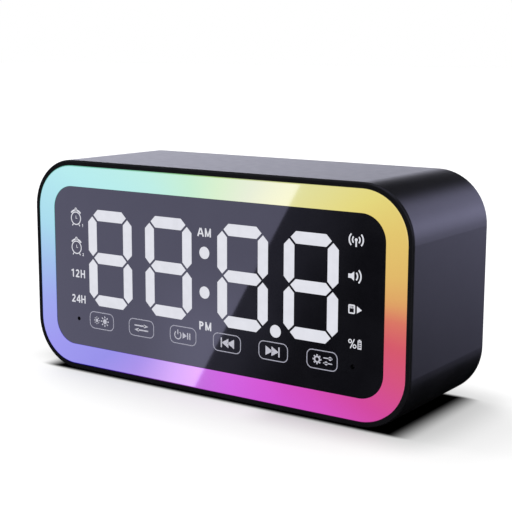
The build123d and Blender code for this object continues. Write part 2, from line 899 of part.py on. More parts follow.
def speaker_basket():
    """Pressed frame: square flange, conical wall with vents, ledge for the surround and base."""
    wall_top = gasket_front
    outer = basket_opening_radius + basket_wall
    base_inner = basket_base_radius - basket_wall
    bend = wall_top - speaker_flange - basket_straight
    profile = Polygon(
        (magnet_hole_radius, basket_front), (basket_base_radius, basket_front), (outer, bend),
        (outer, wall_top), (basket_opening_radius, wall_top), (basket_opening_radius, bend + basket_wall / 2),
        (base_inner, basket_floor), (magnet_hole_radius, basket_floor)
    )
    basket = turned(profile)
    vent_near = basket_floor + basket_wall
    vent_far = vent_near + basket_window_height
    vent = Rectangle(speaker_size, basket_window_width) + Rectangle(basket_window_width, speaker_size)
    basket -= slab(Pos(speaker_x, 0) * vent, vent_near, vent_far)
    flange = RectangleRounded(speaker_size, speaker_size, speaker_corner_radius)
    flange -= Circle(basket_opening_radius)
    basket += slab(Pos(speaker_x, 0) * flange, flange_front, gasket_front)
    for x, rise in speaker_hole_places():
        basket -= rod(x, rise, screw_hole_radius, flange_front - cut_overrun, cover_front)
    ledge = Circle(basket_opening_radius + basket_wall / 2) - Circle(surround_outer() - surround_lip)
    return basket + slab(Pos(speaker_x, 0) * ledge, cone_rim_back - basket_wall, cone_rim_back)


def surround_outer():
    return basket_opening_radius - surround_rest_gap


def speaker_top_plate():
    ring = Pos(speaker_x, 0) * (Circle(top_plate_radius) - Circle(top_plate_hole_radius))
    return slab(ring, top_plate_front, basket_front)


def speaker_magnet():
    ring = Pos(speaker_x, 0) * (Circle(magnet_radius) - Circle(magnet_hole_radius))
    return slab(ring, magnet_front, top_plate_front)


def speaker_yoke():
    """Back plate with the pole that stands in the voice coil."""
    yoke = slab(Pos(speaker_x, 0) * Circle(top_plate_radius), yoke_front, magnet_front)
    return yoke + slab(Pos(speaker_x, 0) * Circle(pole_radius), magnet_front, basket_front)


def voice_coil():
    """Thin former with its winding at the front end."""
    middle = Pos(speaker_x, 0)
    outer = former_radius + former_wall
    former = slab(middle * (Circle(outer) - Circle(former_radius)), former_front, former_back)
    winding = middle * (Circle(outer + winding_wall) - Circle(former_radius))
    return former + slab(winding, former_front, former_front + winding_length)


def cone_neck_radius():
    return former_radius + former_wall + glue_gap


def speaker_cone():
    """Cone that opens to the rear, with a flat rim for the surround."""
    neck = cone_neck_radius()
    front_side = [(neck, cone_front), (cone_outer_radius, cone_rim_front), (cone_rim_radius, cone_rim_front)]
    rear_side = [(radius, depth + cone_thickness) for radius, depth in reversed(front_side)]
    return turned(Polygon(*(front_side + rear_side)))


def dust_cap():
    """Domed cap glued into the cone over the coil."""
    slope = cone_depth / (cone_outer_radius - cone_neck_radius())
    seat = cone_front + cone_thickness + slope * (dust_cap_radius - cone_neck_radius()) + glue_gap
    dome_radius = (dust_cap_radius ** 2 + dust_cap_height ** 2) / (2 * dust_cap_height)
    centre = Pos(0, seat + dust_cap_height - dome_radius)
    shell = centre * (Circle(dome_radius) - Circle(dome_radius - dust_cap_thickness))
    room = Rectangle(dust_cap_radius, dust_cap_height, align=(Align.MIN, Align.MIN))
    return turned(shell & (Pos(0, seat) * room))


def speaker_surround():
    """Half-roll rubber edge between the cone's rim and the basket's ledge."""
    outer = surround_outer()
    roll_middle = outer - surround_lip - surround_roll_radius
    inner = roll_middle - surround_roll_radius
    low = cone_rim_back + surround_rest_gap
    roll = Circle(surround_roll_radius + surround_thickness / 2) - Circle(
        surround_roll_radius - surround_thickness / 2
    )
    roll_width = 2 * surround_roll_radius + surround_thickness
    rear_half = Rectangle(roll_width, roll_width, align=(Align.CENTER, Align.MIN))
    roll = Pos(roll_middle, low) * (roll & rear_half)
    inner_lip = Pos(inner - surround_lip, low) * Rectangle(
        surround_lip + surround_thickness / 2, surround_thickness, align=(Align.MIN, Align.MIN)
    )
    outer_lip = Pos(outer, low) * Rectangle(
        surround_lip + surround_thickness / 2, surround_thickness, align=(Align.MAX, Align.MIN)
    )
    return turned(roll + inner_lip + outer_lip)


def speaker_spider():
    """Wavy disc that centres the coil, seated on the basket's floor."""
    seat_outer = basket_base_radius - basket_wall - surround_rest_gap
    seat_inner = seat_outer - spider_seat_width
    start = seat_inner - spider_rise
    inner = cone_neck_radius() + surround_rest_gap
    level = basket_floor + spider_rise
    step = (start - inner) / (2 * spider_waves)
    lower = [(seat_outer, basket_floor), (seat_inner, basket_floor), (start, level)]
    for wave in range(1, 2 * spider_waves):
        lift = spider_wave_height if wave % 2 else 0
        lower.append((start - wave * step, level + lift))
    lower.append((inner, level))
    upper = [(radius, depth + spider_thickness) for radius, depth in reversed(lower)]
    return turned(Polygon(*(lower + upper)))


def speaker_screws():
    places = speaker_hole_places()
    return [facing_front(flange_front, *place) * screw(speaker_screw_length) for place in places]


def terminal_x():
    return speaker_x - speaker_size / 2 + terminal_width / 2


def speaker_terminals():
    """Tag strip on the flange, on the side of the main board."""
    return block(terminal_x(), flange_front - terminal_height, flange_front,
                 -terminal_length / 2, terminal_length / 2, terminal_width)


def main_board():
    """Circuit board lying on the shelf's standoffs."""
    middle = (main_board_front + main_board_back) / 2
    outline = RectangleRounded(main_board_width, main_board_depth, main_board_corner_radius)
    board = extrude(facing_up(middle, shelf_x, main_board_bottom) * outline, amount=board_thickness)
    hole = Cylinder(screw_hole_radius, board_thickness + 2 * cut_overrun)
    mid = main_board_bottom + board_thickness / 2
    return board - [facing_up(depth, x, mid) * hole for x, depth in standoff_places()]


def main_board_screws():
    return [facing_up(depth, x, main_board_top) * screw(main_screw_length) for x, depth in standoff_places()]


def radio_module():
    """Wireless module under a metal can on its own small board."""
    width, length, height = module_size
    middle = main_board_back - module_from_rear
    low = main_board_top
    carrier = block(module_x, middle - length / 2, middle + length / 2, low, low + can_lip, width)
    return carrier + block(module_x, middle - length / 2 + can_lip, middle + length / 2 - can_lip,
                           low + can_lip, low + height, width - 2 * can_lip)


def board_chips():
    """Processor, amplifier and charging chip."""
    chips = []
    for (across, back), (width, length, height) in zip(chip_places_shares, chip_sizes):
        middle = main_board_front + back * main_board_depth
        x = shelf_x + across * main_board_width
        chips.append(block(x, middle - length / 2, middle + length / 2,
                           main_board_top, main_board_top + height, width))
    return chips


def charging_socket():
    """Oval metal socket with its tongue, reaching into the cover's opening."""
    mid = charging_mid()
    near = main_board_back + charging_overhang - charging_length
    far = main_board_back + charging_overhang
    oval = SlotOverall(charging_width, charging_height)
    bore = SlotOverall(charging_width - 2 * charging_wall, charging_height - 2 * charging_wall)
    shell = slab(Pos(charging_x, mid) * oval, near, far)
    shell -= slab(Pos(charging_x, mid) * bore, near + charging_floor, far + cut_overrun)
    return shell + block(charging_x, near + charging_floor, far - charging_tongue_gap,
                         mid - charging_tongue_height / 2, mid + charging_tongue_height / 2,
                         charging_tongue_width)


def card_socket():
    """Flat metal shell that takes a small memory card from behind."""
    near = main_board_back - card_shell_length
    low = main_board_top
    shell = block(card_x, near, main_board_back, low, low + card_shell_height, card_shell_width)
    mid = card_mid()
    return shell - block(card_x, main_board_back - card_slot_depth, main_board_back + cut_overrun,
                         mid - card_slot_height / 2, mid + card_slot_height / 2, card_slot_width)


def switch_body():
    """Slide switch on the board, open to the rear where its stem moves."""
    far = main_board_back
    mid = switch_mid()
    low = main_board_top
    width = switch_width
    body = block(switch_x + switch_travel / 2, far - switch_length, far, low, low + switch_height, width)
    room = block(switch_x + switch_travel / 2, far - switch_stem_length - switch_fit, far + cut_overrun,
                 mid - switch_stem / 2 - switch_fit, mid + switch_stem / 2 + switch_fit,
                 switch_stem + switch_travel + 2 * switch_fit)
    return body - room


def switch_knob():
    """Sliding stem with a grooved cap behind the rear cover."""
    mid = switch_mid()
    cap_near = cover_back + knob_cap_gap
    cap_far = cap_near + knob_cap_thickness
    stem = block(switch_x, main_board_back - switch_stem_length, cap_near,
                 mid - switch_stem / 2, mid + switch_stem / 2, switch_stem)
    half_height = knob_cap_height / 2
    cap = block(switch_x, cap_near, cap_far, mid - half_height, mid + half_height, knob_cap_width)
    for number in range(knob_groove_count):
        x = switch_x + (number - (knob_groove_count - 1) / 2) * 2 * knob_groove_width
        cap -= block(x, cap_far - knob_groove_depth, cap_far + cut_overrun,
                     mid - knob_cap_height, mid + knob_cap_height, knob_groove_width)
    return stem + cap


def ribbon_front_depth():
    return board_back + ribbon_connector_height


def board_connectors():
    """Two ribbon connectors and the speaker's and battery's wire headers."""
    width = ribbon_width + 2 * ribbon_connector_margin
    front = block(ribbon_x, board_back, ribbon_front_depth(),
                  ribbon_rise - ribbon_connector_depth / 2, ribbon_rise + ribbon_connector_depth / 2, width)
    main = block(ribbon_x, main_board_front, main_board_front + ribbon_connector_depth,
                 main_board_top, main_board_top + ribbon_connector_height, width)
    header_width, header_depth, header_height = header_size
    headers = [
        block(header_x, depth - header_depth / 2, depth + header_depth / 2,
              main_board_top, main_board_top + header_height, header_width)
        for depth in (speaker_header_depth(), battery_header_depth())
    ]
    return [front, main] + headers


def speaker_header_depth():
    return main_board_back - speaker_header_from_rear


def battery_header_depth():
    return main_board_front + battery_header_from_front


def header_side():
    return header_x + header_size[0] / 2


def header_mid():
    return main_board_top + header_size[2] / 2


def lead_path(points):
    """Straight runs through points of x, depth and rise, joined by arcs as large as they allow."""
    corners = [Vector(x, front_y + depth, face_mid_z + rise) for x, depth, rise in points]
    radii = []
    for before, corner, after in zip(corners, corners[1:], corners[2:]):
        shorter = min((corner - before).length, (after - corner).length)
        turn = math.radians((corner - before).get_angle(after - corner))
        radii.append(bend_share * shorter / math.tan(turn / 2))
    print("bend radii", [round(radius, 2) for radius in radii])
    return FilletPolyline(*corners, radius=radii)


def ribbon_cable():
    """Flat cable that leaves the front board level and drops to the main board."""
    start = ribbon_front_depth()
    low = main_board_top + ribbon_connector_height / 2
    middle = (start + main_board_front) / 2
    path = lead_path([
        (ribbon_x, start, ribbon_rise), (ribbon_x, middle, ribbon_rise),
        (ribbon_x, middle, low), (ribbon_x, main_board_front, low),
    ])
    start_plane = Plane(origin=path @ 0, x_dir=(1, 0, 0), z_dir=path % 0)
    return sweep(start_plane * Rectangle(ribbon_width, ribbon_thickness), path=path)


def wire(points):
    """Round insulated lead along a path."""
    path = lead_path(points)
    return sweep(Plane(origin=path @ 0, z_dir=path % 0) * Circle(wire_radius), path=path)


def speaker_leads():
    """Two leads, one above the other, from the tag strip to their header on the main board."""
    start = flange_front - terminal_height
    forward = start - speaker_lead_forward
    end = speaker_header_depth()
    leads = []
    for side in (-1, 1):
        rise = header_mid() + side * wire_spacing / 2
        leads.append(wire([
            (terminal_x(), start, rise), (terminal_x(), forward, rise), (speaker_lead_turn_x, forward, rise),
            (speaker_lead_turn_x, end, rise), (header_side(), end, rise),
        ]))
    return leads


def battery_leads():
    """Two leads, side by side, from the cell's end up to their header on the main board."""
    start = cell_x + cell_length / 2
    low = cell_rise + battery_lead_rise
    leads = []
    for side in (-1, 1):
        depth = battery_header_depth() + side * wire_spacing / 2
        leads.append(wire([
            (start, depth, low), (start + battery_lead_out, depth, low),
            (start + battery_lead_out, depth, header_mid()), (header_side(), depth, header_mid()),
        ]))
    return leads


def battery_cell():
    """Round lithium cell in its wrap, with its raised end cap."""
    place = Pos(cell_x, front_y + cell_depth, face_mid_z + cell_rise) * Rot(0, 90, 0)
    can = Cylinder(cell_radius, cell_length)
    can = fillet(can.edges(), cell_edge_radius)
    cap = Cylinder(cell_cap_radius, cell_cap_height, align=(Align.CENTER, Align.CENTER, Align.MIN))
    return place * (can + Pos(0, 0, cell_length / 2) * cap)


def battery_cradle():
    """Open half-round saddle on the body's floor that holds the cell."""
    length = cell_length + 2 * (cell_cap_height + cell_fit + cradle_wall)
    half_width = cell_radius + cell_fit + cradle_wall
    low = -inner_height / 2
    saddle = block(cell_x, cell_depth - half_width, cell_depth + half_width, low, cell_rise, length)
    saddle &= slab(RectangleRounded(inner_width, inner_height, inner_corner_radius), lug_back, cover_front)
    room = Rot(0, 90, 0) * Cylinder(cell_radius + cell_fit, length - 2 * cradle_wall)
    return saddle - Pos(cell_x, front_y + cell_depth, face_mid_z + cell_rise) * room


def save(name, shape):
    """Writes one piece, or a group of like solids, as one node."""
    if isinstance(shape, (list, ShapeList)):
        shape = Compound(children=[solid for piece in shape for solid in piece.solids()])
    shape.label = name
    export_step(shape, f"parts/{name}.step")


os.makedirs("parts", exist_ok=True)

single_pieces = [
    housing_sleeve, light_ring, face_panel, light_mask, front_frame, display_reflector, front_board,
    ring_leds, segment_leds, legend_light_pipes, microphone, microphone_boot, light_sensor,
    frame_screws, board_screws, rear_cover, rear_screws, grille_mesh, speaker_gasket, speaker_basket,
    speaker_top_plate, speaker_magnet, speaker_yoke, voice_coil, speaker_cone, dust_cap,
    speaker_surround, speaker_spider, speaker_screws, speaker_terminals, main_board,
    main_board_screws, radio_module, board_chips, board_connectors, charging_socket, card_socket,
    switch_body, switch_knob, ribbon_cable, speaker_leads, battery_leads, battery_cell, battery_cradle,
]
for make in single_pieces:
    save(make.__name__, make())

for number, x in enumerate(digit_places(), start=1):
    save(f"digit_{number}_segments", segments_of(digit_outlines(x)))
save("colon_dots", segments_of(colon_outlines()))
save("decimal_point", segments_of([decimal_outline()]))

for name, (x, rise) in zip(key_names, key_places()):
    save(f"touch_pad_{name}", touch_pad(x, rise))

foot_names = ["left_front", "left_rear", "right_front", "right_rear"]
for name, (x, y) in zip(foot_names, foot_places()):
    save(f"rubber_foot_{name}", rubber_foot(x, y))
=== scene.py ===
import json
import math

import bpy
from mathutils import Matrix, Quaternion, Vector


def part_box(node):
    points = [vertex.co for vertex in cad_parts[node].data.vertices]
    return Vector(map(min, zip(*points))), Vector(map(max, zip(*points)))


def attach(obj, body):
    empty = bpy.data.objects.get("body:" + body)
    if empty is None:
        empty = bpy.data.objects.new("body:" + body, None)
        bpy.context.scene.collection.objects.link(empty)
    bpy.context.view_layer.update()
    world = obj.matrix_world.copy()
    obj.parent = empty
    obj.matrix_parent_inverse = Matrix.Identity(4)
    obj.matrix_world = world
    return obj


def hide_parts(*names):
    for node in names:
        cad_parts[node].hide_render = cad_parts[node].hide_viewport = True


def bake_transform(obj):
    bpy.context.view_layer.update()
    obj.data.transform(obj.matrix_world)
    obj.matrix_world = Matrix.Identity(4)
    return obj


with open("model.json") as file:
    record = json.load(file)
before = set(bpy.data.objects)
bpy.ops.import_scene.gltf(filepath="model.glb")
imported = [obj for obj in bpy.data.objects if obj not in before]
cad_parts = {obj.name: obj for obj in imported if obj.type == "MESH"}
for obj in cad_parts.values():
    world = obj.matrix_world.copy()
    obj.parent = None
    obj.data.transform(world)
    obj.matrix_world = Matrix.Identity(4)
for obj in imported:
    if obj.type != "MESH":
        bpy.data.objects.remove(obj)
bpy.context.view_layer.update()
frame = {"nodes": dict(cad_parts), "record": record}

# The clock stands on z = 0 and its face looks along -Y. Sizes are typed in millimetres and used in metres.
MM = 0.001
UPRIGHT = math.pi / 2
HALF_TURN = math.pi
WAVE_AT_ONE = 2 * math.pi / 20  # width of the wave texture's bands at a scale of 1

# Camera: where it looks, from how far, how it is turned, and its lens
CAMERA_TARGET = Vector((20.26, -25.19, 49.23)) * MM
CAMERA_DISTANCE = 368.55 * MM
CAMERA_AZIMUTH = 34.843
CAMERA_ELEVATION = 9.942
CAMERA_ROLL = 0.177
LENS = 83.31
SENSOR_WIDTH = 36.0
CLIP_START = 10.0

# Prints: their thickness and how far they stand proud, the outlines of the keys, the suns and the letters
PRINT_THICKNESS = 0.04
PRINT_PROUD = 0.02
PRINT_MERGE = 0.0001
KEY_WIDTH = 11.1
KEY_HEIGHT = 6.1
KEY_CORNER = 2.0
KEY_LINE = 0.3
SUN_RAYS = 8
LEGEND_HEIGHT = 2.8
HOURS_LINE = 0.5
HALF_DAY_LINE = 0.55

# Where the lit signs stand, across and up from the middle of the face
SIGN_PLACES = {
    "alarm_1": (-55.8, 17.0),
    "alarm_2": (-55.8, 6.8),
    "12_hours": (-55.3, -2.5),
    "24_hours": (-55.3, -11.5),
    "am": (0, 17.0),
    "pm": (0, -13.7),
    "radio": (56.0, 19.3),
    "sound": (56.0, 9.0),
    "card": (56.0, -1.0),
    "charge": (56.0, -11.5),
}

# Where the signs on the rear cover stand, across and up from the middle of the node that each goes with
COVER_SIGN_PLACES = {
    "charging": ("charging_socket", 0, 5.2),
    "card_slot": ("card_socket", 0, 5.9),
    "switch_on": ("switch_knob", 2.2, 5.1),
    "switch_off": ("switch_knob", -0.9, 5.1),
}


def middle(node):
    low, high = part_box(node)
    return (low + high) / 2


face_middle = middle("face_panel")
front_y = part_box("housing_sleeve")[0].y
panel_face_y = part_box("face_panel")[0].y
cover_face_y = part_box("rear_cover")[1].y


def rgb(red, green, blue):
    """Linear colour from values of 0 to 255."""
    def linear(value):
        share = value / 255
        return share / 12.92 if share <= 0.04045 else ((share + 0.055) / 1.055) ** 2.4
    return (linear(red), linear(green), linear(blue), 1)


class Nodes:
    """Adds nodes to a tree. An input is a number, a colour or the output of another node."""

    def __init__(self, tree):
        self.tree = tree

    def node(self, kind, inputs=None, **settings):
        made = self.tree.nodes.new(kind)
        for name, value in settings.items():
            setattr(made, name, value)
        for name, value in (inputs or {}).items():
            if isinstance(value, bpy.types.NodeSocket):
                self.tree.links.new(value, made.inputs[name])
            else:
                made.inputs[name].default_value = value
        return made

    def combine(self, operation, first, second=0.0):
        """Result of one operation on two values, such as ADD or MAXIMUM."""
        return self.node("ShaderNodeMath", {0: first, 1: second}, operation=operation).outputs[0]

    def product(self, result, *factors):
        for factor in factors:
            result = self.combine("MULTIPLY", result, factor)
        return result

    def between(self, value, low, high, span=(0.0, 1.0), **settings):
        """Goes from low to high while the value goes through the span."""
        inputs = {"Value": value, "From Min": span[0], "From Max": span[1], "To Min": low, "To Max": high}
        return self.node("ShaderNodeMapRange", inputs, **settings).outputs["Result"]

    def fade(self, value, span, low=0.0, high=1.0):
        """As between, with soft ends."""
        return self.between(value, low, high, span, interpolation_type="SMOOTHSTEP")

    def blended(self, share, first, second):
        """Mix of two colours, all of the second one where the share is 1."""
        inputs = {0: share, 6: first, 7: second}
        return self.node("ShaderNodeMix", inputs, data_type="RGBA").outputs[2]


class Finish(Nodes):
    """One Principled material whose patterns read Object coordinates."""

    def __init__(self, name, colour, roughness, **sockets):
        self.material = bpy.data.materials.new(name)
        self.material.use_nodes = True
        super().__init__(self.material.node_tree)
        self.shader = self.tree.nodes["Principled BSDF"]
        self.shader.inputs["Base Color"].default_value = colour
        self.shader.inputs["Roughness"].default_value = roughness
        for socket, value in sockets.items():
            self.shader.inputs[socket.replace("_", " ")].default_value = value
        self.place = self.node("ShaderNodeTexCoord").outputs["Object"]

    def feed(self, socket, output):
        self.tree.links.new(output, self.shader.inputs[socket])

    def noise(self, size, detail=2.0, stretch=(1, 1, 1)):
        """Soft mottling whose patches are about that many millimetres across."""
        vector = self.node("ShaderNodeMapping", {"Vector": self.place, "Scale": stretch}).outputs[0]
        inputs = {"Vector": vector, "Scale": 1 / (size * MM), "Detail": detail}
        return self.node("ShaderNodeTexNoise", inputs).outputs["Fac"]

    def waves(self, width, direction="X", profile="SIN", distortion=0.0):
        """Even bands that many millimetres wide."""
        inputs = {"Vector": self.place, "Scale": WAVE_AT_ONE / (width * MM), "Distortion": distortion}
        settings = {"bands_direction": direction, "wave_profile": profile}
        return self.node("ShaderNodeTexWave", inputs, **settings).outputs["Fac"]

    def cells(self, size):
        """How far each point is from the middle of its cell, with cells that many millimetres across."""
        return self.node("ShaderNodeTexVoronoi", {"Vector": self.place, "Scale": 1 / (size * MM)}).outputs[0]

    def axis(self, name):
        return self.node("ShaderNodeSeparateXYZ", {0: self.place}).outputs[name]

    def ramp(self, fac, stops, blend="LINEAR"):
        """Colours at shares of the way from 0 to 1."""
        made = self.node("ShaderNodeValToRGB", {"Fac": fac})
        made.color_ramp.interpolation = blend
        elements = made.color_ramp.elements
        while len(elements) < len(stops):
            elements.new(0.5)
        for element, (share, colour) in zip(elements, stops):
            element.position = share
            element.color = colour
        return made.outputs["Color"]

    def tones(self, size, first, second, detail=2.0):
        """Two close tones in soft patches."""
        self.feed("Base Color", self.ramp(self.noise(size, detail), [(0.35, first), (0.65, second)]))

    def gloss(self, size, low, high, detail=2.0):
        """Roughness that changes softly between two values."""
        self.feed("Roughness", self.between(self.noise(size, detail), low, high))

    def relief(self, height, depth):
        """Small bumps that many millimetres deep."""
        inputs = {"Height": height, "Distance": depth * MM, "Strength": 1.0}
        self.feed("Normal", self.node("ShaderNodeBump", inputs).outputs["Normal"])


def shade(colour, factor):
    return (colour[0] * factor, colour[1] * factor, colour[2] * factor, 1)


def plain(name, colour, roughness, tones, gloss, relief=None, **sockets):
    """Finish in two close tones with uneven gloss, and with a fine grain where it has one."""
    finish = Finish(name, colour, roughness, **sockets)
    finish.tones(*tones)
    finish.gloss(*gloss)
    if relief:
        size, detail, depth = relief
        finish.relief(finish.noise(size, detail), depth)
    return finish.material


BLACK = rgb(0, 0, 0)
WHITE = rgb(255, 255, 255)

# The body's black, and how much rougher and less shiny its rim is over its first tenth of a millimetre
BODY_BLACK = (0.0032, 0.0032, 0.0042, 1)
RIM_ROUGHER = 0.5
RIM_FADE = 0.12
RIM_SHINE = 0.1
BODY_SHINE = 0.5


def body_plastic():
    """Satin black plastic with the fine grain of a spark-eroded mould, duller on the rim round the face."""
    finish = Finish("satin_black_plastic", BODY_BLACK, 0.3, IOR=1.5)
    finish.tones(9, BODY_BLACK, shade(BODY_BLACK, 1.4))
    grain = finish.between(finish.noise(3), 0.27, 0.33)

    def by_depth(at_rim, behind):
        return finish.between(finish.axis("Y"), at_rim, behind, (front_y, front_y + RIM_FADE * MM))

    finish.feed("Roughness", finish.combine("ADD", grain, by_depth(RIM_ROUGHER, 0.0)))
    finish.feed("Specular IOR Level", by_depth(RIM_SHINE, BODY_SHINE))
    finish.relief(finish.noise(0.16, 3), 0.002)
    return finish.material


# The ring's colours by the angle round the face, from its left side downwards, in degrees
RING_COLOURS = [
    (-180, rgb(81, 139, 178)),
    (-170, rgb(74, 98, 182)),
    (-158, rgb(72, 62, 184)),
    (-145, rgb(54, 28, 176)),
    (-132, rgb(108, 44, 180)),
    (-114, rgb(164, 86, 190)),
    (-97, rgb(191, 94, 216)),
    (-72, rgb(210, 89, 224)),
    (-50, rgb(217, 88, 216)),
    (-36, rgb(218, 82, 196)),
    (-26, rgb(216, 76, 163)),
    (-17, rgb(217, 85, 133)),
    (-9, rgb(218, 92, 110)),
    (-3, rgb(222, 121, 103)),
    (2, rgb(227, 168, 104)),
    (8, rgb(229, 188, 108)),
    (18, rgb(231, 202, 114)),
    (28, rgb(232, 219, 128)),
    (42, rgb(224, 222, 150)),
    (60, rgb(200, 208, 154)),
    (80, rgb(180, 210, 138)),
    (100, rgb(156, 208, 146)),
    (125, rgb(140, 206, 172)),
    (150, rgb(125, 203, 183)),
    (168, rgb(98, 180, 180)),
    (180, rgb(81, 139, 178)),
]


def ring_opal():
    """Opal band lit from behind, its colour turning with the angle round the face, under a clear gloss."""
    finish = Finish("lit_opal", rgb(40, 40, 40), 0.05, IOR=1.5, Emission_Strength=1.0,
                    Coat_Weight=1.0, Coat_Roughness=0.03, Coat_IOR=2.0)
    up = finish.combine("SUBTRACT", finish.axis("Z"), face_middle.z)
    turn = finish.combine("DIVIDE", finish.combine("ARCTAN2", up, finish.axis("X")), 2 * math.pi)
    wobble = finish.between(finish.noise(24, 1), -0.004, 0.004)
    share = finish.combine("ADD", finish.combine("ADD", turn, 0.5), wobble)
    colour = finish.ramp(share, [(angle / 360 + 0.5, colour) for angle, colour in RING_COLOURS])
    finish.feed("Emission Color", colour)
    finish.feed("Base Color", finish.blended(0.93, colour, BLACK))
    return finish.material


def panel_gloss():
    """Gloss black panel with the faint unevenness of a hand-wiped surface."""
    tones = (14, (0.004, 0.004, 0.0055, 1), (0.006, 0.006, 0.008, 1))
    return plain("gloss_black_panel", (0.0045, 0.0045, 0.006, 1), 0.025, tones, (11, 0.015, 0.035), IOR=1.5)


def lit_white(name, colour, strength):
    """Milky plastic lit from behind, a little uneven from light to light."""
    finish = Finish(name, rgb(90, 90, 94), 0.5, IOR=1.2, Emission_Strength=strength)
    patches = finish.noise(2.4)
    finish.feed("Emission Color", finish.ramp(patches, [(0.3, shade(colour, 0.97)), (0.7, colour)]))
    finish.feed("Base Color", finish.ramp(patches, [(0.3, rgb(84, 84, 88)), (0.7, rgb(92, 92, 96))]))
    finish.gloss(3, 0.45, 0.6)
    return finish.material


def segment_white():
    return lit_white("lit_segments", rgb(222, 223, 231), 0.88)


def light_pipe():
    return plain("clear_acrylic", rgb(225, 230, 236), 0.08, IOR=1.49,
                 tones=(3, rgb(220, 226, 233), rgb(232, 236, 240)), gloss=(2, 0.05, 0.14))


def carrier_white():
    return plain("white_moulding", rgb(232, 232, 228), 0.5, IOR=1.5, relief=(0.3, 3, 0.006),
                 tones=(8, rgb(226, 226, 221), rgb(236, 236, 233)), gloss=(4, 0.45, 0.58))


def mask_film():
    return plain("black_film", rgb(20, 20, 20), 0.6,
                 tones=(5, rgb(17, 17, 17), rgb(26, 26, 27)), gloss=(2, 0.5, 0.7))


def circuit_board():
    """Green solder mask with wavering tracks and tinned spots."""
    finish = Finish("solder_mask", rgb(18, 74, 44), 0.3, IOR=1.5)
    tracks = finish.waves(1.6, "X", "SAW", 2.0)
    mask = finish.ramp(tracks, [(0.0, rgb(14, 62, 36)), (0.7, rgb(18, 74, 44)), (0.78, rgb(34, 104, 62))])
    spots = finish.ramp(finish.cells(3.2), [(0.1, BLACK), (0.12, WHITE)], "CONSTANT")
    finish.feed("Base Color", finish.blended(spots, rgb(196, 198, 190), mask))
    finish.gloss(2, 0.22, 0.36)
    finish.relief(tracks, 0.02)
    return finish.material


def led_package():
    """White package with a yellow phosphor window, seen as soft patches."""
    return plain("led_package", rgb(235, 228, 190), 0.35,
                 tones=(1.4, rgb(240, 238, 228), rgb(226, 200, 92)), gloss=(1, 0.2, 0.45))


def dark_foam():
    finish = Finish("dark_foam", rgb(58, 58, 60), 0.95, Sheen_Weight=0.2)
    cells = finish.cells(0.35)
    finish.feed("Base Color", finish.ramp(cells, [(0.0, rgb(28, 28, 30)), (0.6, rgb(74, 74, 77))]))
    finish.gloss(1, 0.88, 1.0)
    finish.relief(cells, 0.08)
    return finish.material


def soft_rubber():
    return plain("soft_rubber", rgb(26, 26, 27), 0.75, Sheen_Weight=0.08, relief=(0.25, 4, 0.01),
                 tones=(2.5, rgb(22, 22, 23), rgb(34, 34, 35)), gloss=(1.5, 0.68, 0.82))


def metal(name, first, second, low, high, size, stretch=(1, 1, 1)):
    """Plated steel with fine streaks or grains, that many millimetres across before their stretch."""
    finish = Finish(name, first, low, Metallic=1.0)
    streaks = finish.noise(size, 4, stretch)
    finish.feed("Base Color", finish.ramp(streaks, [(0.3, first), (0.7, second)]))
    finish.feed("Roughness", finish.between(streaks, low, high))
    finish.relief(streaks, 0.002)
    return finish.material


def screw_steel():
    return metal("plated_screw_steel", rgb(150, 150, 154), rgb(188, 188, 190), 0.24, 0.4, 0.5)


def bare_steel():
    return metal("brushed_steel", rgb(176, 177, 180), rgb(204, 205, 207), 0.26, 0.42, 0.9, (0.15, 2, 2))


def copper_winding():
    finish = Finish("copper_winding", rgb(186, 104, 62), 0.3, Metallic=1.0)
    turns = finish.waves(0.16, "Y")
    finish.feed("Base Color", finish.ramp(turns, [(0.1, rgb(120, 58, 30)), (0.8, rgb(206, 124, 78))]))
    finish.gloss(1, 0.25, 0.38)
    finish.relief(turns, 0.05)
    return finish.material


def basket_steel():
    return plain("painted_steel", rgb(38, 38, 41), 0.45, relief=(0.4, 3, 0.01),
                 tones=(4, rgb(33, 33, 36), rgb(46, 46, 49)), gloss=(2, 0.38, 0.52))


def ferrite():
    return plain("sintered_ferrite", rgb(66, 66, 69), 0.6, Metallic=0.4, relief=(0.35, 5, 0.03),
                 tones=(0.6, rgb(52, 52, 55), rgb(84, 84, 88), 5), gloss=(1, 0.5, 0.72))


def cone_plastic():
    return plain("cone_polypropylene", rgb(44, 44, 47), 0.5, relief=(0.5, 4, 0.02),
                 tones=(0.9, rgb(38, 38, 41), rgb(54, 54, 58), 4), gloss=(1.2, 0.42, 0.6))


def cloth(name, first, second, pitch):
    """Plain weave: two sets of threads crossing at right angles."""
    finish = Finish(name, first, 0.9, Sheen_Weight=0.25)
    weave = finish.product(finish.waves(pitch, "X"), finish.waves(pitch, "Z"))
    finish.feed("Base Color", finish.ramp(weave, [(0.05, first), (0.8, second)]))
    finish.gloss(1, 0.82, 0.96)
    finish.relief(weave, 0.08)
    return finish.material


def spider_cloth():
    return cloth("resin_dipped_cloth", rgb(120, 84, 34), rgb(196, 158, 92), 0.4)


def grille_cloth():
    return cloth("acoustic_cloth", rgb(12, 12, 13), rgb(52, 52, 55), 0.34)


def chip_black():
    return plain("moulded_epoxy", rgb(30, 30, 31), 0.6, relief=(0.12, 4, 0.005),
                 tones=(0.8, rgb(25, 25, 26), rgb(37, 37, 38), 4), gloss=(0.8, 0.52, 0.68))


def connector_ivory():
    return plain("ivory_nylon", rgb(226, 220, 196), 0.48,
                 tones=(3, rgb(220, 213, 187), rgb(233, 228, 208)), gloss=(1.5, 0.4, 0.56))


